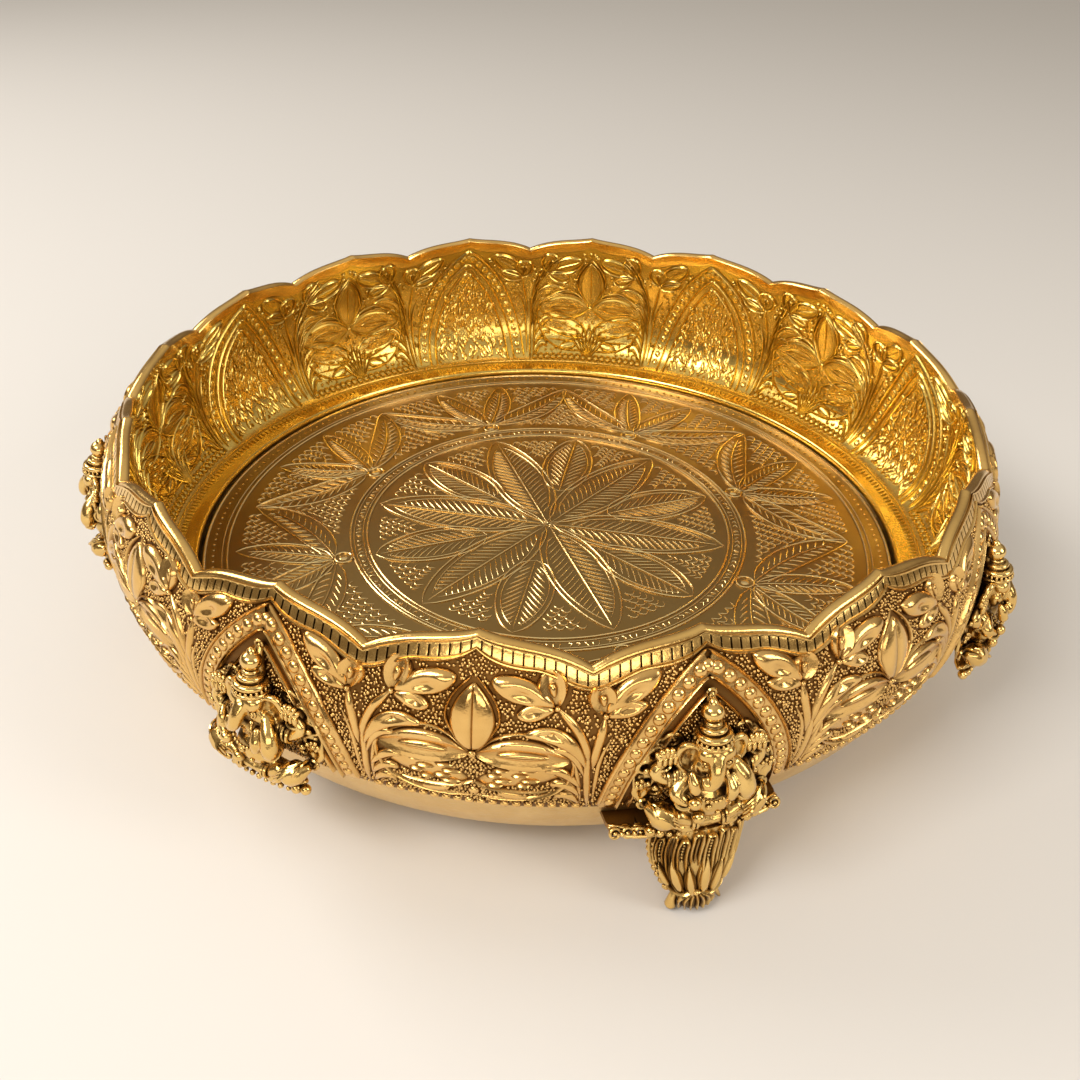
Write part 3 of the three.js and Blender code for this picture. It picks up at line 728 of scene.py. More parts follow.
STRAY = math.radians(4.5)                    # one figure was brazed a little off its place
for i in range(8):
    copy = turned_copy(figure, f"seated_figure_{i + 1}", i * math.pi / 4 - (STRAY if i == 6 else 0))
    dress(copy, cast_brass, "cast_brass", f"elephant_figure_{i + 1}")
bpy.data.objects.remove(figure)

# %% [markdown]
# ## The legs
# Each leg is a cast leaf of upright ribs, widest near its top, that ends in a small shell between two
# claws. Its solid body is a loft of rings, so that is how it starts. The ribs, which are long loops with
# round tops, are strokes as on a flat sheet, laid on the front of the loft.

# %% Loft of a leg
LEG_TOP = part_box("leaf_leg_1")[1].z / MM
LEG_HALF = 13.0
LEG_DEPTH = 6.2
LEG_MIDDLE = 163.8
# Four numbers a ring: share of the height, width, depth, and how far out it is moved
LEG_LEVELS = np.array([
    [0.00, 0.20, 0.30, 4.4],
    [0.06, 0.34, 0.46, 4.2],
    [0.16, 0.46, 0.62, 3.5],
    [0.32, 0.66, 0.76, 2.3],
    [0.48, 0.83, 0.88, 1.3],
    [0.64, 0.95, 0.94, 0.6],
    [0.80, 1.00, 0.96, 0.0],
    [0.92, 0.97, 0.85, -0.7],
    [1.00, 0.86, 0.66, -1.6],
])
FRONT_LEVELS = np.concatenate([LEG_LEVELS[:7], [
    [0.92, 1.00, 0.98, 0.3],
    [1.00, 0.98, 0.97, 0.8],
    [1.16, 0.93, 0.92, 1.1],
]])


def leg_shape(up, table):
    share = np.asarray(up, float) / LEG_TOP
    return [np.interp(share, table[:, 0], table[:, k]) for k in (1, 2, 3)]


def on_leg(points):
    """Lays flat points on the leg: u from -13 to 13 goes round its front, v is up, h is out."""
    u, v, h = np.asarray(points, float).T
    width, depth, moved = leg_shape(v, FRONT_LEVELS)
    turn = u / LEG_HALF * math.pi / 2
    x = LEG_HALF * width * np.sin(turn)
    out = LEG_MIDDLE + moved + LEG_DEPTH * depth * np.cos(turn)
    nx = np.sin(turn) * LEG_DEPTH * depth
    ny = np.cos(turn) * LEG_HALF * width
    size = np.hypot(nx, ny)
    return np.stack([x + h * nx / size, -(out + h * ny / size), v], -1)


rows = []
sides = 44
heights = np.linspace(0.4, LEG_TOP - 0.1, 26)
for up in heights:
    width, depth, moved = leg_shape(up, LEG_LEVELS)
    for k in range(sides):
        turn = 2 * math.pi * k / sides
        flute = 1 + 0.03 * math.cos(11 * turn)
        rows.append((LEG_HALF * width * flute * math.sin(turn),
                     -(LEG_MIDDLE + moved + LEG_DEPTH * depth * flute * math.cos(turn)), up))
last = (len(heights) - 1) * sides
caps = [tuple(range(sides)), tuple(range(last, last + sides))]
leg_body = face_outwards(mesh_object("leg_body", rows, quads(len(heights), sides) + caps))

# %% [markdown]
# The ribs run on up over the slab's front edge to the seat, so they stand on a thin apron, a curved sheet
# that is laid as a grid and thickened.

# %% Apron, loops and bead strings on the leg
grid = [(u, v, 0) for v in np.linspace(24, 35.4, 8) for u in np.linspace(-12.2, 12.2, 41)]
apron = mesh_object("apron", on_leg(grid), quads(8, 41, closed=False))
add_modifier(apron, "SOLIDIFY", thickness=1.3 * MM, offset=-1)

leg_panel = Panel()
LOOP_TOPS = (0.4, 1.8, 0.3, 2.4, 0.0, 1.5, 0.2, 2.0, 0.5, 1.6)
LOOP_FEET = (15, 19, 12, 17, 20, 13, 18, 14, 12, 16)
for k, (drop, low) in enumerate(zip(LOOP_TOPS, LOOP_FEET)):
    u = -11.7 + 2.6 * k
    top = 34.8 - 0.012 * u * u - drop
    middle = (low + top) / 2
    loop = [(u - 0.78, low), (u - 0.9, middle), (u - 0.84, top - 1.5), (u, top), (u + 0.84, top - 1.5),
            (u + 0.9, middle), (u + 0.78, low)]
    leg_panel.ridge(loop, 0.46, 1.5, steps=28, taper=0.08)
    if k % 2:
        for j in range(6):
            leg_panel.bead((u, top - 2.3 - 1.45 * j), (0.42, 0.5), 1.1, segments=7, rings=2)
    else:
        leg_panel.ridge([(u, top - 2), (u, middle), (u, low + 1)], 0.3, 0.9, steps=10)
DROPS = ((-9.4, 21, 12.5, 1.5), (-6.0, 23.5, 10.5, 1.9), (-2.4, 20.5, 8.6, 1.7), (1.2, 24, 9.6, 1.9),
         (4.6, 21.5, 9.0, 1.7), (8.0, 24, 11.5, 1.8))
for u, top, low, half in DROPS:
    path = [(u, top), (u * 0.98, (top + low) / 2), (u * 0.84, low)]
    leg_panel.leaf(path, half * 0.72, 2.4, blunt=(1.1, 0.45), steps=16)
    leg_panel.leaf(path, half, 1.2, blunt=(0.9, 0.4), frame=True, steps=16)
for k in range(9):
    u = -9.6 + 2.4 * k
    leg_panel.ridge([(u, 16 - (k % 3)), (u * 0.9, 11), (u * 0.72, 7.6)], 0.5, 1.5, steps=10, taper=0.2)
for side in (-1, 1):
    for k in range(10):
        leg_panel.bead((side * (13.9 - 0.1 * k), 30.5 - 2.5 * k), (1.25, 1.15), 1.9, segments=11, rings=4)
    for k in range(9):
        leg_panel.bead((side * (11.2 - 0.1 * k), 27.4 - 2.2 * k), (0.8, 0.8), 1.5, segments=9)
for k in range(7):
    lean = (k - 3) / 3
    leg_panel.ridge([(lean * 1.4 - 0.8, 9.8), (lean * 7, 5.6), (lean * 8.8, 1.4)], 0.8, 1.9, steps=10)
leg_panel.ridge([(-10.5, 11.5), (-5, 9.2), (-1, 10.6), (4, 8.6), (10.5, 11)], 0.6, 2.0, steps=20)
leg_panel.bead((-1, 10.2), (1.1, 1.0), 2.6, rings=4)
leg_detail = mesh_object("leg_detail", on_leg(leg_panel.all_points()), leg_panel.faces)

claws = [
    roll_of_wax([(-4.8, 167.6, 8.8), (-6.4, 168.2, 5.0), (-6.9, 168.4, 2.1)], [1.0, 1.4, 1.9]),
    roll_of_wax([(4.8, 167.4, 9.4), (6.8, 168.0, 5.2), (8.9, 168.2, 0.9)], [1.9, 1.2, 0.5]),
    ball(-5.6, 168.6, 9.2, 1.5, 1.3, 1.5),
    ball(6.0, 168.2, 9.8, 1.2, 1.1, 1.2),
    roll_of_wax([(-8.4, 166.6, 13.6), (-9.6, 167.0, 12.4), (-8.8, 167.2, 11.2), (-7.8, 167.2, 11.8)],
                [0.7, 0.8, 0.7, 0.5]),
    ball(-3.2, 169.4, 3.6, 0.9, 0.8, 0.9),
    ball(3.4, 169.4, 4.4, 0.7, 0.7, 0.7),
]
leg = join([leg_body, apron, leg_detail] + [apply_place(o) for o in claws], "leg")
smooth(leg, 50)
LEG_ANGLES = (0, 135, -135)
for i, angle in enumerate(LEG_ANGLES):
    copy = turned_copy(leg, f"ribbed_leg_{i + 1}", math.radians(angle))
    dress(copy, cast_brass, "cast_brass", f"leaf_leg_{i + 1}")
bpy.data.objects.remove(leg)

# %% [markdown]
# The slab under a footed figure is right as it is, a thin plate with a lobed edge. It only needs a darker
# brass, which paints in the shade that falls on it under the figure, and the string of beads and small loops
# along the edge; the beads are added as a piece of their own.

# %% Bead strings on the seat slabs
slab_low, slab_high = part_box("seat_bracket_1")
SLAB_HALF = slab_high.x / MM
SLAB_FRONT = -slab_low.y / MM
SLAB_UP = (slab_low.z + slab_high.z) / 2 / MM
beads = []
for side in (-1, 1):
    for k in range(4):
        across, out = side * (SLAB_HALF - 1.6 - 3.6 * k), SLAB_FRONT - 2.2 + 0.55 * k
        beads.append(ring(across, out, SLAB_UP + 0.1, 1.5, 0.5, tilt=68, fine=(16, 7)))
        beads.append(ball(across, out + 0.2, SLAB_UP + 0.2, 0.8, 0.7, 0.6, fine=10))
        beads.append(ball(across - side * 1.8, out + 0.9, SLAB_UP + 0.3, 0.85, 0.85, 0.8, fine=10))
        beads.append(ball(across + side * 0.2, out - 1.9, SLAB_UP + 0.9, 1.5, 0.7, 0.5, fine=10))
    path = [(side * (SLAB_HALF - 0.6), SLAB_FRONT - 3.0), (side * 19, SLAB_FRONT - 0.4),
            (side * 12, SLAB_FRONT + 0.4), (side * 6, SLAB_FRONT + 0.6)]
    for back, lift, radii in ((0, -0.5, [0.55, 0.75, 0.75, 0.6]), (1.6, 1.0, [0.5, 0.65, 0.65, 0.5])):
        beads.append(roll_of_wax([(x, out - back, SLAB_UP + lift) for x, out in path], radii, sides=8))
beading = smooth(join([apply_place(o) for o in beads], "slab_beads"), 60)
for i, angle in enumerate(LEG_ANGLES):
    dress(turned_copy(beading, f"slab_beads_{i + 1}", math.radians(angle)), cast_brass, "cast_brass")
    # painted shade: the slab takes the darker brass
    slab = frame["nodes"][f"seat_bracket_{i + 1}"]
    slab.data.materials.clear()
    slab.data.materials.append(painted_shade_brass)
bpy.data.objects.remove(beading)


# %% [markdown]
# ## The leaf bay
# Every second bay of the wall shows one upright leaf over a pair of almond shapes and a heart, with sprays
# of three leaves that grow from the borders on both sides. Between them the ground is grained with a ring
# punch. A stroke is given for the right side and drawn again, mirrored, for the left.

# %% Strokes of the leaf bay
def half_of_bay(side):
    """Gives a function that sets points on the right half of a bay, or mirrored on the left."""
    return lambda *points: [(side * u, v) for u, v in points]


def spray(panel, at, node_spot, round_leaf, big_leaf, low_leaf, stem):
    """Three leaves from one node: a round one up, a big one along and a small one below."""
    mirror = at((1, 0))[0][0]
    panel.leaf(at(*round_leaf), 4.4, 2.3, blunt=(0.75, 0.5), frame=True, steps=20)
    start, end = np.array(round_leaf[0]), np.array(round_leaf[-1])
    panel.leaf(at(start + 0.22 * (end - start), start + 0.68 * (end - start)), 1.2, 1.5, blunt=(0.9, 0.5),
               steps=10)
    panel.leaf(at(*big_leaf), 3.8, 2.4, blunt=(0.85, 0.6), steps=26,
               pit=(0.52, -0.22 * mirror, 1.7, 0.2, 0.42))
    panel.leaf(at(*low_leaf), 2.6, 2.0, blunt=(0.7, 0.7), steps=20,
               pit=(0.52, 0.12 * mirror, 1.3, 0.22, 0.42))
    panel.ridge(at(*stem), 1.5, 1.4, taper=0.25)
    panel.bead(at(node_spot)[0], (1.0, 0.9), 1.7)


def border_trunk(panel, at):
    """The fluted trunk on a border, its side blades curling out near the foot."""
    panel.ridge(at((32.1, 1), (31.6, 10), (31.0, 20), (31.6, 28)), 1.3, 1.0, steps=14, taper=0.3)
    panel.ridge(at((30.2, 2), (29.4, 10), (28.4, 18), (26.6, 26), (23.6, 33)), 0.9, 0.9, steps=14, taper=0.3)
    for k in range(3):
        foot, reach, top = 3 + 4.2 * k, 22.5 - 1.4 * k, 8.5 + 5.6 * k
        panel.leaf(at((29.8, foot), (28.4, foot + 5), (reach + 2, top + 3), (reach, top - 1.5)), 1.5, 1.5,
                   blunt=(0.8, 0.6), steps=13)
        panel.ridge(at((28.6, foot), (26.6, foot + 3.2), (reach + 1.6, top - 0.6)), 0.42, 0.8, steps=9)


def leaf_bay(panel):
    for side in (-1, 1):
        at = half_of_bay(side)
        almond = at((0.6, 24.0), (8, 25.0), (18, 25.0), (27.0, 23.2))
        panel.leaf(almond, 5.6, 1.8, blunt=(0.85, 0.8), frame=True, steps=28)
        panel.leaf(at((6.0, 24.2), (13, 25.0), (21.5, 24.0)), 1.6, 1.4, blunt=(0.85, 0.85), rib=-0.4,
                   steps=16)
        panel.ridge(at((0.4, 24.2), (6, 30.0), (13.5, 32.2), (21, 29.4), (27.8, 23.6)), 0.5, 1.3, steps=18)
        panel.ridge(at((0.6, 24.4), (4.6, 30.0), (7.4, 36), (5.2, 42.5), (0.1, 48.2)), 0.5, 1.35, steps=18)

        panel.ridge(at((27.6, 23.6), (26.8, 17), (22.8, 10.2), (14, 6.0), (0, 5.4)), 0.7, 1.3, steps=20)
        for k in range(9):
            panel.leaf(at((3.4 * k + 0.2, 2.4), (3.4 * k + 3.2, 2.2)), 1.25, 1.3, blunt=(0.6, 0.5), steps=8)
        panel.leaf(at((25.8, 20.4), (16, 17.2), (8.2, 15.4), (1.2, 12.4)), 4.6, 0.6, blunt=(0.45, 0.6),
                   steps=16)
        for row in range(4):
            for k in range(2):
                u = 6.0 + 7.4 * k + 2.2 * (row % 2) + chance.uniform(-0.5, 0.5)
                v = 11.2 + 2.2 * row + 0.1 * u + chance.uniform(-0.2, 0.2)
                reach = chance.uniform(1.9, 3.0)
                dash = at((u - reach, v - 0.15), (u, v + 0.35), (u + reach, v + 0.1))
                panel.ridge(dash, 0.6, 1.5, steps=8, taper=0.2)
        panel.leaf(at((15.6, 7.0), (10.0, 7.8), (6.4, 8.6)), 1.6, 1.5, blunt=(0.6, 0.6), steps=11)
        panel.ridge(at((21.4, 10.4), (12, 9.8), (5, 10.6), (0, 12.8)), 0.45, 1.3, steps=12)

        spray(panel, at, (22.7, 40), [(22.4, 40.4), (21.6, 45), (20.2, 50.6)],
              [(22.2, 40.2), (17.4, 44.6), (10.6, 44.4), (4.6, 47.2)],
              [(22.2, 39.6), (17.6, 39.6), (14.2, 37.4), (11.6, 38.0)],
              [(31.4, 22), (30.4, 28), (27.4, 34.6), (22.8, 40)])
        panel.leaf(at((31.2, 19), (28.6, 29.6), (22.0, 34.6), (13.4, 31.4)), 2.6, 2.0, blunt=(1.0, 0.7),
                   pit=(0.66, 0.2 * side, 1.3, 0.14, 0.4), steps=24)
        panel.leaf(at((30.6, 16), (28.8, 25.0), (25.0, 29.6), (20.8, 26.4)), 1.5, 1.6, blunt=(0.9, 0.6),
                   steps=16)
        border_trunk(panel, at)
    panel.leaf([(0, 25.4), (0, 33), (0, 40), (0, 46.0)], 6.6, 2.0, blunt=(0.55, 0.85), rib=-0.75, steps=24)
    panel.bead((0, 24.2), (1.3, 1.1), 1.5)
    panel.bead((0, 8.4), (1.7, 1.5), 1.4, segments=14)


# %% [markdown]
# ## The arch bay
# The bays behind the figures carry a pointed arch instead: raised lines with a row of beads between the
# first two, large at the peak and smaller down the sides, and a grained field that the figure mostly hides.

# %% Strokes of the arch bay
ARCH = [(0, 53.6), (5.2, 49.6), (10.4, 44.8), (15.4, 39), (20.0, 32.0), (24.2, 23.4), (27.4, 13.4),
        (29.2, 2.0)]
PEAK_DROP = 1.36                             # a line that moves in by 1 mm comes down by this at the peak


def arch_bay(panel, raised=True):
    curve = through(ARCH, 60)
    inward = -normals_of(curve)
    run = np.concatenate([[0], np.cumsum(np.linalg.norm(np.diff(curve, axis=0), axis=1))])
    for side in (-1, 1):
        at = half_of_bay(side)

        def inner_line(distance, least=0.3):
            line = curve + inward * distance
            line = line[line[:, 0] > least]
            return at((0, ARCH[0][1] - distance * PEAK_DROP), *line[2::5], line[-1])

        if raised:
            crown = through(inner_line(2.8, 0.05), 40)
            flat = np.array([-SINK, 1.1, 1.1, -SINK])
            panel.strip(crown, np.full(40, 2.9), (np.array([-1, -0.9, 0.9, 1]), np.tile(flat, (40, 1))))
        panel.ridge(at(*curve[::5], curve[-1]), 0.75, 1.9, steps=40, taper=0.03)
        panel.ridge(inner_line(5.6), 0.75, 1.9, steps=40, taper=0.03)
        panel.ridge(inner_line(9.0), 0.6, 1.5, steps=40, taper=0.03)

        spot, size = 5.4, 2.4
        beaded = curve + inward * 2.85
        while spot < run[-1] - 2:
            u, v = np.interp(spot, run, beaded[:, 0]), np.interp(spot, run, beaded[:, 1])
            panel.bead(at((u, v))[0], (size, size), 1.1 + size * 0.5, segments=16, rings=5)
            spot += size * 2 - 0.2
            size = max(1.5, size * 0.98)
        for distance, half_width in ((2.9, 2.9), (7.4, 2.0)):
            line = curve + inward * distance
            panel.keep_clear(at(*line[line[:, 0] > 0.3][::4]), half_width)

        spray(panel, at, (28.6, 37.6), [(28.8, 38.2), (29.6, 42.2), (29.8, 46.6)],
              [(28.4, 38.2), (25.0, 44.4), (19.4, 44.8), (13.4, 50.0)],
              [(28.2, 37.2), (24.4, 39.8), (20.6, 39.4), (17.0, 40.8)],
              [(31.6, 20), (31.0, 26), (29.6, 32), (28.6, 37.6)])
        panel.ridge(at((30.8, 4), (30.6, 14), (29.6, 24), (26.6, 31)), 0.8, 0.8, steps=14, taper=0.3)
    panel.bead((0, 49.0), (2.3, 2.2), 2.0, segments=16, rings=5)


# %% [markdown]
# ## The grained ground
# A ring punch leaves a ground of small bright grains. There are thousands, so a grain has only eighteen
# triangles. They sit on a jittered grid, wherever no stroke lies and below the slit band.

# %% Graining
STAGGER = 0.87                               # rows of a staggered grid lie closer than its columns


def band_line(u):
    """Height along the wall, at u, of the slit band's foot."""
    return arc_of(band_foot(rise_at(np.asarray(u) / BELLY)))


def grain(panel, pitch=1.18, radius=0.5, rise=0.8, low=1.5):
    spots = []
    for row in range(int((WALL_LENGTH - low) / (pitch * STAGGER))):
        for column in range(int(2 * BAY_HALF / pitch) + 1):
            spots.append((-BAY_HALF + (column + 0.5 * (row % 2)) * pitch, low + row * pitch * STAGGER))
    spots = np.array(spots) + chance.uniform(-0.3, 0.3, (len(spots), 2)) * pitch
    below = spots[:, 1] < band_line(spots[:, 0]) - radius * 1.2
    spots = spots[(abs(spots[:, 0]) < BAY_HALF - 0.3) & below]
    spots = spots[panel.is_free(spots, radius * 0.35)]
    for u, v in spots:
        size = radius * chance.uniform(0.72, 1.25)
        panel.bead((u, v), (size * chance.uniform(1, 1.45), size), rise * chance.uniform(0.7, 1.2),
                   turn=chance.uniform(0, math.pi), segments=6, rings=2, cover=False)
    return len(spots)


outer_leaf_bay, outer_arch_bay = Panel(), Panel()
leaf_bay(outer_leaf_bay)
arch_bay(outer_arch_bay)
print("grains", grain(outer_leaf_bay), grain(outer_arch_bay))

# %% [markdown]
# ## Inside the wall
# The sheet is worked from both sides, so the same pattern shows inside, softer: each leaf is a low swell
# with a thin raised line round it. The strokes are the same; only what a punch leaves behind differs, so
# the inside is a second kind of panel.

# %% The inside's curve
def off_wall(z, proud):
    slope = np.interp(z, curve_z, np.gradient(curve_r, curve_z))
    size = math.hypot(1, slope)
    return float(wall_radius(z)) + proud / size, z - proud * slope / size


SEAM_RADIUS = BELLY - SEAM_INSET
FLANGE_WIDTH = 21.7                          # from the seam in to the lip round the floor
FLANGE_DROP = 11.1
LIP_RADIUS = SEAM_RADIUS - FLANGE_WIDTH
FLANGE_FOOT = SEAM - FLANGE_DROP
PAN_THICKNESS = 1.8
PAN_EDGE = 1.1 * PAN_THICKNESS               # the pan's wall slants, so it is a little wider at its edge


def foot_curve(top_radius, top_height, foot_height, steps=9):
    run = top_radius - LIP_RADIUS
    return list(bezier([(LIP_RADIUS + 0.2 * run, foot_height), (LIP_RADIUS + 0.75 * run, foot_height),
                        (top_radius, top_height)], steps))


foot = foot_curve(SEAM_RADIUS - THICKNESS, SEAM + 2, FLANGE_FOOT + 2, 30)
inner_path = np.array([p for p in foot if p[0] > LIP_RADIUS + 4.6]
                      + [off_wall(z, -THICKNESS) for z in np.linspace(SEAM + 3, RIM, 80)])
inner_run = np.concatenate([[0], np.cumsum(np.linalg.norm(np.diff(inner_path, axis=0), axis=1))])
inner_way = np.gradient(inner_path, inner_run, axis=0)
inner_way /= np.linalg.norm(inner_way, axis=1)[:, None]


def wrap_inside(flat, angle=0.0):
    """Lays flat points on the inside, stretched so that the pattern runs on over the turned foot."""
    u, v, h = np.asarray(flat, float).T
    run = v / WALL_LENGTH * inner_run[-1]
    r = np.interp(run, inner_run, inner_path[:, 0]) - np.interp(run, inner_run, inner_way[:, 1]) * h
    z = np.interp(run, inner_run, inner_path[:, 1]) + np.interp(run, inner_run, inner_way[:, 0]) * h
    return around_axis(r, angle - u / BELLY, z)


print("inside length", round(inner_run[-1], 1), "mm")


# %% A panel seen from its back
class BackPanel(Panel):
    foot = 4.2                               # strip of ticks under the pattern

    def add(self, points, faces):
        points = np.array(points, float)
        points[:, 1] = self.foot + points[:, 1] * (1 - self.foot / WALL_LENGTH)
        super().add(points, faces)

    def leaf(self, points, half_width, rise, blunt=(0.5, 1.1), frame=False, rib=0.0, pit=None, steps=14):
        super().leaf(points, half_width * 0.84, 0.5, blunt, steps=steps)
        spine = bezier(points, steps)
        width = leaf_outline(np.linspace(0, 1, steps), blunt) * half_width
        across = normals_of(spine)
        for side in (-1, 1):
            edge = spine + side * across * width[:, None]
            super().ridge([*edge[::2], edge[-1]], 0.5, 1.2, steps=steps, taper=0.1)
        if rib or pit or half_width > 3:
            super().ridge(spine[1:-1:2], 0.36, 1.1, steps=8, taper=0.2)

    def ridge(self, points, half_width, rise, steps=16, taper=0.12, cover=True):
        super().ridge(points, min(half_width, 0.6), 1.25, steps, taper, cover)

    def strip(self, spine, widths, section, cover=True):
        super().strip(spine, widths, (section[0], np.minimum(section[1], 1.25)), cover)

    def bead(self, centre, radii, rise, turn=0.0, segments=10, rings=3, cover=True):
        super().bead(centre, (radii[0] * 0.8, radii[1] * 0.8), min(rise, 0.8), turn, segments, 3, cover)


def inner_leaf_bay(panel):
    """The leaf bay with two close lines up each border that bend in at the top, and a fan at its foot."""
    leaf_bay(panel)
    for side in (-1, 1):
        for step in (0, 1.9):
            panel.ridge([(side * (31.4 - step), 1), (side * (31.2 - step), 16), (side * (29.6 - step), 32),
                         (side * (24 - step), 44), (side * (18 - step), 51 - step)], 0.45, 1.0, steps=20)
    for k in range(7):
        lean = (k - 3) / 3
        panel.leaf([(lean * 0.6, 2.0), (lean * 3.5, 8), (lean * 9.5, 17 - 4.6 * abs(lean))], 1.35, 1.0,
                   blunt=(0.9, 0.7), steps=9)


def curls(panel, pitch=2.9, size=0.95, rise=0.95):
    """Small open curls in what is left of the ground."""
    spots = np.array([(u, v) for v in np.arange(3, WALL_LENGTH, pitch * STAGGER)
                      for u in np.arange(-BAY_HALF, BAY_HALF, pitch)])
    spots += chance.uniform(-0.25, 0.25, spots.shape) * pitch
    below = spots[:, 1] < band_line(spots[:, 0]) - size * 2
    spots = spots[(abs(spots[:, 0]) < BAY_HALF - size) & below]
    spots = spots[panel.is_free(spots, size * 0.6)]
    for u, v in spots:
        start, way, reach = chance.uniform(0, 6.3), chance.choice((-1, 1)), size * chance.uniform(0.75, 1.2)
        curl = []
        for k in range(6):
            turn = start + way * k * 0.85
            close = reach * (1 - 0.09 * k)
            curl.append((u + close * math.cos(turn), v + close * math.sin(turn)))
        Panel.ridge(panel, curl, 0.36, rise, steps=9, taper=0.25, cover=False)
    return len(spots)


def foot_ticks(panel, count=24):
    """A line and a row of ticks along the foot of the inside."""
    panel.foot = 0
    Panel.ridge(panel, [(-BAY_HALF, 3.5), (0, 3.5), (BAY_HALF, 3.5)], 0.35, 0.9, steps=24, taper=0)
    for k in range(count):
        u = -BAY_HALF + (k + 0.5) * 2 * BAY_HALF / count
        Panel.ridge(panel, [(u, 0.6), (u + 0.1, 1.6), (u, 2.6)], 0.3, 0.8, steps=5, taper=0.2)


inner_leaf, inner_arch = BackPanel(), BackPanel()
inner_leaf_bay(inner_leaf)
arch_bay(inner_arch, raised=False)


def under_arch(u, v):
    across, up = np.array(ARCH[::-1]).T
    return abs(u) < np.interp(v, up, across) - 10


for k in range(330):
    u, v = chance.uniform(-20, 20), chance.uniform(3, 44)
    if under_arch(u, v):
        size = chance.uniform(0.7, 1.7)
        Panel.bead(inner_arch, (u, v), (size * chance.uniform(1.2, 2.2), size * 0.7),
                   chance.uniform(0.5, 1.2), turn=math.pi / 2 + chance.uniform(-0.7, 0.7), segments=9)
print("inner curls", curls(inner_leaf), curls(inner_arch))
foot_ticks(inner_leaf)
foot_ticks(inner_arch)


# %% Laying the panels on the wall
RELIEF_FULL = 1.2                            # a place this high counts as fully raised


def lay(panel, name, angle, inside, material):
    flat = panel.all_points()
    obj = mesh_object(name, (wrap_inside if inside else wrap)(flat, angle), panel.faces)
    # painted shade: the finish paints the low places of the relief darker
    mark_relief(obj, np.clip(flat[:, 2] / RELIEF_FULL, 0, 1))
    smooth(obj, 60)
    return dress(obj, material, "wall_embossed_brass", "wall_band")


for bay in range(BAYS):
    arch = bay % 2 == 0
    angle = bay * BAY
    lay(outer_arch_bay if arch else outer_leaf_bay, f"outer_relief_{bay + 1}", angle, False, outer_brass)
    lay(inner_arch if arch else inner_leaf, f"inner_relief_{bay + 1}", angle, True, inner_brass)

# %% [markdown]
# ## The sheet of the wall
# Under the relief lies the sheet itself: up the outside, over under the slit band, down the inside, and in
# along a turned foot that ends in a small lip round the floor. A turned body would be a spin, but the upper
# edge waves with the scallops, so the section is set out at each station round the bowl and the rings are
# bridged.

# %% Rings of sections
def ring_of_sections(name, stations, section_at):
    """A closed ring. section_at(theta) gives points (r, z), running clockwise seen along the ring."""
    sections = [section_at(theta) for theta in stations]
    count = len(sections[0])
    points = [(r * math.sin(t), -r * math.cos(t), z) for t, s in zip(stations, sections) for r, z in s]
    faces = []
    for i in range(len(stations)):
        n = (i + 1) % len(stations)
        for j in range(count):
            k = (j + 1) % count
            faces.append((i * count + j, n * count + j, n * count + k, i * count + k))
    return mesh_object(name, points, faces)


def wall_section(theta):
    top = float(band_foot(rise_at(theta))) - 0.2
    heights = SEAM + np.linspace(0, 1, 14) ** 0.8 * (top - SEAM)
    outside = [off_wall(z, 0) for z in heights]
    inside = [off_wall(z, -THICKNESS) for z in heights[1:][::-1]]
    under = foot_curve(SEAM_RADIUS - PAN_STEP - PAN_EDGE - GAP, SEAM, FLANGE_FOOT)
    over = foot_curve(SEAM_RADIUS - THICKNESS, SEAM + 2, FLANGE_FOOT + 2)[::-1]
    lip = [(LIP_RADIUS + r, FLANGE_FOOT + z)
           for r, z in ((2.0, 2.1), (1.5, 2.9), (0.7, 3.0), (0.1, 2.4), (0, 1))]
    return [(LIP_RADIUS, FLANGE_FOOT)] + under + outside + inside + over + lip


sheet = ring_of_sections("wall_sheet", np.linspace(0, 2 * math.pi, BAYS * 24, endpoint=False), wall_section)
sheet_points = points_of(sheet)
reach = np.hypot(sheet_points[:, 0], sheet_points[:, 1])
# painted shade: the bare sheet is marked low so the finish paints it dark as shade; the plain foot round the
# floor is marked fully raised and the inside's ground is only a little darkened
plain = (sheet_points[:, 2] < SEAM + 2.2) & (reach < SEAM_RADIUS - 1)
on_inside = reach < wall_radius(sheet_points[:, 2]) - 1.5
mark_relief(sheet, np.where(plain, 1.0, np.where(on_inside, 0.35, 0.0)))
smooth(face_outwards(sheet), 50)
dress(sheet, inner_brass, "wall_embossed_brass", "wall_band")
sheet.data.materials.append(outer_brass)
for polygon in sheet.data.polygons:
    middle = polygon.center
    outside = math.hypot(middle.x, middle.y) / MM > float(wall_radius(middle.z / MM)) - 1
    polygon.material_index = 1 if outside and middle.z / MM > SEAM - 0.2 else 0

# %% [markdown]
# ## The slit band
# A heavier strip is brazed on the edge. Its top is rounded and polished, its foot is a thin line, and
# between them narrow upright slots are cut, with land as wide as four slots in between. The slots are made
# by the ring's own stations: where a slot is, the section is drawn in.

# %% Rim with slots
SLOTS = 22
PROUD = 0.7


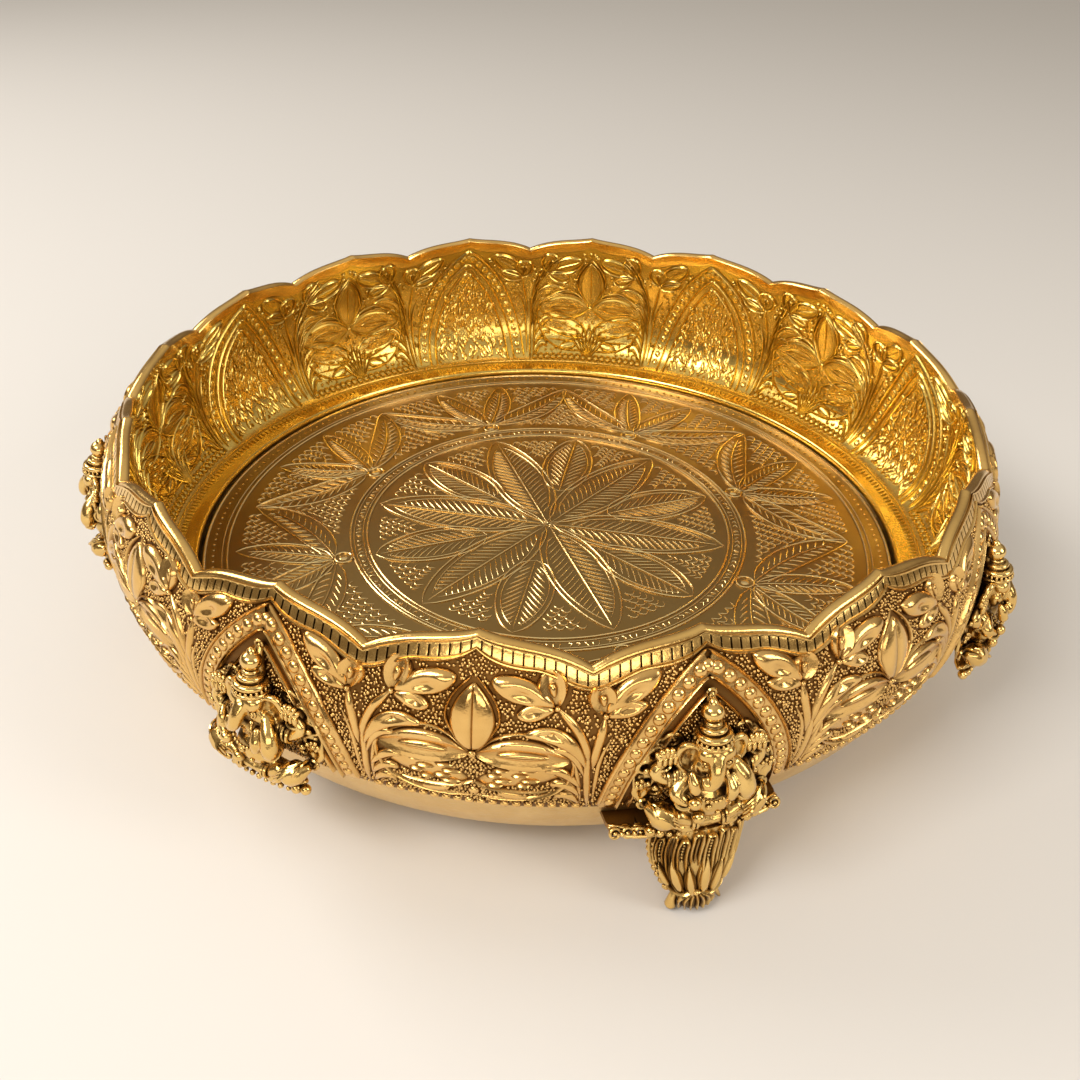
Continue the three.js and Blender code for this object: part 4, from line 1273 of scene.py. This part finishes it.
def rim_section(theta, depth):
    rise = float(rise_at(theta))
    top, foot = float(edge_height(rise)), float(band_foot(rise))
    span = top - foot

    def out(share, proud):
        return off_wall(foot + share * span, proud)

    edge_r, edge_z = off_wall(top, PROUD)
    rounded = ((0.1, -1.3), (-0.1, -0.7), (-0.6, -0.2), (-1.4, 0), (-2.4, 0), (-3.2, -0.35), (-3.6, -1.0))
    edge = [(edge_r + r, edge_z + z) for r, z in rounded]
    return [
        off_wall(foot, -THICKNESS), out(0.0, -0.3), (out(0.0, PROUD + 0.05)[0], foot + 0.05),
        out(0.04, PROUD + 0.45), out(0.09, PROUD + 0.45), out(0.14, PROUD - 0.1), out(0.19, PROUD),
        out(0.22, PROUD - depth), out(0.45, PROUD - depth), out(0.69, PROUD - depth), out(0.72, PROUD),
        out(0.8, PROUD + 0.1), *edge, out(0.72, -THICKNESS - 0.25), out(0.4, -THICKNESS),
    ]


slot_places = ((0.0, 0.0), (0.2, -0.04), (0.4, 0.0), (0.43, 1.0), (0.57, 1.0), (0.60, 0.0), (0.8, -0.04))
stations, depths = [], {}
for i in range(BAYS * SLOTS):
    for place_in_pitch, depth in slot_places:
        theta = (i + place_in_pitch) * BAY / SLOTS
        stations.append(theta)
        depths[theta] = depth
rim = ring_of_sections("slit_rim", stations, lambda theta: rim_section(theta, depths[theta]))
smooth(face_outwards(rim), 42)
dress(rim, rim_brass, "rim_polished_brass", "rim_band")

# %% [markdown]
# ## The pan
# The pan is spun from one sheet, so it is modelled the same way: its section is drawn once and spun.

# %% Spun pan
def spun(name, section, steps=192):
    edges = [(i, (i + 1) % len(section)) for i in range(len(section))]
    mesh = bpy.data.meshes.new(name)
    mesh.from_pydata([(r * MM, 0, z * MM) for r, z in section], edges, [])
    obj = bpy.data.objects.new(name, mesh)
    bpy.context.scene.collection.objects.link(obj)
    active(obj)
    bpy.ops.object.mode_set(mode="EDIT")
    bpy.ops.mesh.select_all(action="SELECT")
    bpy.ops.mesh.spin(steps=steps, angle=2 * math.pi, center=(0, 0, 0), axis=(0, 0, 1))
    bpy.ops.object.mode_set(mode="OBJECT")
    return face_outwards(obj)


PAN_TOP = SEAM - GAP
PAN_UNDER = 6.5
PAN_TOP_RADIUS = SEAM_RADIUS - PAN_STEP
LEAN = 2 * SEAM_INSET / (BELLY_HEIGHT - SEAM)
FLOOR_THICKNESS = 2
PLATFORM = FLOOR_TOP - FLOOR_THICKNESS - GAP
FOOT_RING = SEAM_RADIUS - 39                 # where the raised middle comes down to the foot


def pan_curve(top_radius, foot):
    bend = top_radius - LEAN * (PAN_TOP - foot)
    return list(bezier([(top_radius, PAN_TOP), (bend, foot), (SEAM_RADIUS - 30, foot)], 24))


under_middle = PLATFORM - PAN_THICKNESS
pan_floor = PAN_UNDER + PAN_THICKNESS
pan_section = ([(0.01, under_middle), (60, under_middle), (FOOT_RING - 5.6, under_middle),
                (FOOT_RING - 4.6, PLATFORM - 2.4), (FOOT_RING - 0.6, PAN_UNDER + 0.7),
                (FOOT_RING + 0.6, PAN_UNDER)]
               + pan_curve(PAN_TOP_RADIUS, PAN_UNDER)[::-1] + pan_curve(PAN_TOP_RADIUS - PAN_EDGE, pan_floor)
               + [(FOOT_RING + 1.8, pan_floor), (FOOT_RING - 3.2, PLATFORM), (0.01, PLATFORM)])
pan = smooth(spun("spun_pan", pan_section), 40)
dress(pan, pan_brass, "pan_satin_brass", "base_pan")

# %% [markdown]
# ## The engraved floor
# The floor's pattern is drawn as the engraver cuts it: a flower of twelve feathered petals, a ring with
# small marks, eight buds that each open into four veined leaves, and scales in what is left. The graver
# throws up a bright edge, so a line is a thin raised ridge.

# %% Drawing on the floor
floor_panel = Panel()


def polar(radius, degrees):
    return np.array([radius * math.cos(math.radians(degrees)), radius * math.sin(math.radians(degrees))])


def line(points, half=0.3, rise=0.32, steps=12, taper=0.08):
    floor_panel.ridge(points, half * 1.4, rise * 1.5, steps, taper, cover=False)


def circle(radius, half, rise):
    steps = max(24, int(radius * 1.3))
    line([polar(radius, 360 * k / steps) for k in range(steps + 1)], half, rise, steps=steps + 1, taper=0)


def petal(degrees, start, length, half_width, barbs, blunt, lean=38):
    """A feathered petal: double outline, midrib and slanting barbs on both sides."""
    way = polar(1, degrees)
    square = np.array([-way[1], way[0]])
    t = np.linspace(0, 1, 22)
    width = leaf_outline(t, blunt) * half_width
    spine = way * (start + t[:, None] * length)
    floor_panel.covers.append((spine, width))
    for side in (-1, 1):
        line(spine + square * side * width[:, None], 0.34, 0.4, steps=40)
        inner = way * (start + length * (0.05 + 0.9 * t[:, None]))
        inner = inner + square * side * np.maximum(width - 1.9, 0.1)[:, None]
        line(inner[1:-1], 0.22, 0.26, steps=36)
        for k in range(barbs):
            at = 0.1 + 0.82 * k / barbs
            room = np.interp(at + 0.05, t, width) - 3.2
            if room < 1.2:
                continue
            foot = way * (start + at * length) + square * side * 1.0
            tip = foot + way * room * math.tan(math.radians(lean)) + square * side * room * 0.9
            line([foot, (foot + tip) / 2 + way * 0.35, tip], 0.24, 0.26, steps=5, taper=0.2)
    line([way * start, way * (start + length * 0.5), way * (start + length * 0.96)], 0.3, 0.36, steps=8)


def scales(radius_low, radius_high, size):
    """Rows of small arcs, each row half a scale out of step, wherever the floor is still bare."""
    arcs = []
    for row in range(int((radius_high - radius_low) / (size * 0.6))):
        radius = radius_low + size * 0.6 * row
        count = round(2 * math.pi * radius / size)
        for k in range(count):
            first, step = 360 * (k + 0.5 * (row % 2)) / count, 360 / count
            arcs.append([polar(radius + size * lift, first + step * share)
                         for lift, share in ((0, 0), (0.42, 0.2), (0.6, 0.5), (0.42, 0.8), (0, 1))])
    arcs = np.array(arcs)
    bare = floor_panel.is_free(arcs[:, 2], 0.4)
    for end in (0, 4):
        bare &= floor_panel.is_free(arcs[:, end], 0)
    for arc in arcs[bare]:
        line(arc, 0.24, 0.26, steps=7, taper=0.05)
    return int(bare.sum())


def veined_leaf(bud, middle, lean, width):
    """One of the four leaves that open from a bud, with a bent midrib and ten pairs of veins."""
    start = bud + 4 * polar(1, middle + lean * 0.9)
    end = polar(125.2 - abs(lean) * 0.1, middle + lean * 0.53)
    length = np.linalg.norm(end - start)
    along = (end - start) / length
    square = np.array([-along[1], along[0]])
    t = np.linspace(0, 1, 18)
    half = leaf_outline(t, (0.6, 0.75)) * width
    spine = start + along * length * t[:, None] + square * (np.sin(t * math.pi) * lean * 0.09)[:, None]
    floor_panel.covers.append((spine, half))
    for side in (-1, 1):
        line(spine + square * side * half[:, None], 0.32, 0.4, steps=24)
    line(spine[::3], 0.26, 0.32, steps=10)
    for j in range(10):
        at = 0.12 + 0.74 * j / 10
        foot = np.array([np.interp(at, t, spine[:, 0]), np.interp(at, t, spine[:, 1])])
        room = np.interp(at + 0.07, t, half) * 0.78
        for side in (-1, 1):
            vein = [foot + square * side * 0.9, foot + square * side * room * 0.5 + along * room * 0.3,
                    foot + square * side * room + along * room * 0.9]
            line(vein, 0.28, 0.32, steps=5, taper=0.25)


for k in range(6):
    petal(-25.5 + 60 * k, 2, 69, 12, 19, (0.7, 0.75))
    petal(4.5 + 60 * k, 26, 45, 10.5, 12, (0.55, 0.65), lean=46)
print("scales in the middle", scales(20, 70, 4.0))
for radius, half, rise in ((73, 0.4, 0.42), (79.6, 0.4, 0.42), (74.6, 0.2, 0.24), (78.2, 0.2, 0.24)):
    circle(radius, half, rise)
MARKS = 170
for k in range(MARKS):
    degrees = 360 * k / MARKS
    kind = k % 5
    if kind < 3:
        line([polar(75.3, degrees), polar(77.4, degrees + 0.9 - 0.7 * kind)], 0.2, 0.3, steps=4, taper=0.2)
    else:
        line([polar(75.4, degrees), polar(76.4, degrees + 0.9), polar(77.4, degrees)], 0.2, 0.3, steps=6,
             taper=0.2)
for k in range(8):
    middle = 3.5 + 45 * k
    bud = polar(83.6, middle)
    line([bud + 3.4 * polar(1, middle + 45 * j) for j in range(9)], 0.36, 0.42, steps=24, taper=0)
    floor_panel.bead(bud, (1.7, 1.7), 0.45, segments=12)
    floor_panel.covers.append((bud[None, :], np.array([3.6])))
    for lean, width in ((-43, 6.4), (-14, 6.0), (14, 6.0), (43, 6.4)):
        veined_leaf(bud, middle, lean, width)
print("scales outside", scales(84, 124, 4.2))
for radius, half, rise in ((127, 0.36, 0.4), (129, 0.22, 0.26), (FLOOR_RADIUS - 0.9, 0.5, 0.4)):
    circle(radius, half, rise)
EDGE_BEADS = 220
for k in range(EDGE_BEADS):
    floor_panel.bead(polar(132.4, 360 * k / EDGE_BEADS), (0.62, 0.62), 0.34, segments=6, rings=2,
                     cover=False)
for k in range(12):
    line([polar(0.5, k * 30), polar(2.4, k * 30)], 0.2, 0.24, steps=3, taper=0.2)

flat = floor_panel.all_points()
floor_lines = mesh_object("floor_lines", flat + np.array([0, 0, FLOOR_TOP]), floor_panel.faces)
# painted shade: the finish darkens the floor's bare ground as shade and keeps the engraved lines bright
mark_relief(floor_lines, np.clip(flat[:, 2] / 0.35, 0, 1))
floor_under = FLOOR_TOP - FLOOR_THICKNESS
floor_disc = spun("floor_disc", [(0.01, floor_under), (FLOOR_RADIUS, floor_under),
                                 (FLOOR_RADIUS, FLOOR_TOP - 0.6), (FLOOR_RADIUS - 0.2, FLOOR_TOP - 0.15),
                                 (FLOOR_RADIUS - 0.7, FLOOR_TOP), (0.01, FLOOR_TOP)])
# painted shade: the whole bare disc counts as low and is painted dark
mark_relief(floor_disc, np.zeros(len(floor_disc.data.vertices)))
floor = smooth(join([floor_disc, floor_lines], "engraved_floor"), 40)
dress(floor, floor_brass, "floor_engraved_brass", "floor_plate")

# %% [markdown]
# ## Table, light and camera
# The bowl stands on a plain pale table under soft light. The camera was worked out from the bowl's own
# ellipses and scallops: it looks down at about 35 degrees from half a metre away.

# %% Stage
bpy.ops.object.select_all(action="DESELECT")
bpy.ops.mesh.primitive_plane_add(size=6, location=(0, 0, 0))
table = bpy.context.object
table.name = "table"
paper = bpy.data.materials.new("pale_table")
paper.use_nodes = True
matt = paper.node_tree.nodes["Principled BSDF"]
matt.inputs["Base Color"].default_value = (0.72, 0.70, 0.68, 1)
matt.inputs["Roughness"].default_value = 0.6
table.data.materials.append(paper)

world = bpy.data.worlds.new("soft_room")
bpy.context.scene.world = world
world.use_nodes = True
tree = world.node_tree
sky = tree.nodes["Background"]
direction = node(tree, "ShaderNodeTexCoord").outputs["Generated"]
split = node(tree, "ShaderNodeSeparateXYZ")
tree.links.new(direction, split.inputs[0])
shine = ramp(tree, split.outputs["Z"], 0.25, 1.0, (0.17, 0.135, 0.10), (0.66, 0.61, 0.53))
tree.links.new(shine, sky.inputs["Color"])
sky.inputs["Strength"].default_value = 1.0


def lamp(name, where, size, power, colour=(1, 0.96, 0.9)):
    light = bpy.data.lights.new(name, "AREA")
    light.shape = "RECTANGLE"
    light.size, light.size_y = size
    light.energy = power
    light.color = colour
    obj = bpy.data.objects.new(name, light)
    obj.location = where
    obj.rotation_euler = (Vector((0, 0, 0.05)) - Vector(where)).to_track_quat("-Z", "Y").to_euler()
    bpy.context.scene.collection.objects.link(obj)


lamp("key", (-0.9, -0.5, 1.1), (0.7, 0.5), 12.5)
lamp("fill", (1.0, -0.9, 0.8), (0.5, 0.8), 7)
lamp("back", (-0.95, 0.8, 1.0), (0.8, 0.5), 10)
lamp("front", (-0.3, -1.3, 0.42), (1.1, 0.3), 4, (1, 0.91, 0.78))

# %% Camera
eye = Vector((-102.4326, -358.5212, 276.525)) * MM
forward = Vector((0.21934765, 0.79307018, -0.56826604)).normalized()
right = forward.cross(Vector((0, 0, 1))).normalized()
up = right.cross(forward)
tilt = math.radians(1.3979)
right, up = right * math.cos(tilt) + up * math.sin(tilt), up * math.cos(tilt) - right * math.sin(tilt)
view = bpy.data.cameras.new("camera")
view.lens = 36.69
view.sensor_width = 36
view.sensor_fit = "HORIZONTAL"
view.clip_start = 0.01
camera = bpy.data.objects.new("camera", view)
camera.matrix_world = Matrix((
    (right.x, up.x, -forward.x, eye.x),
    (right.y, up.y, -forward.y, eye.y),
    (right.z, up.z, -forward.z, eye.z),
    (0, 0, 0, 1),
))
bpy.context.scene.collection.objects.link(camera)
bpy.context.scene.camera = camera
bpy.context.scene.view_settings.view_transform = "Standard"
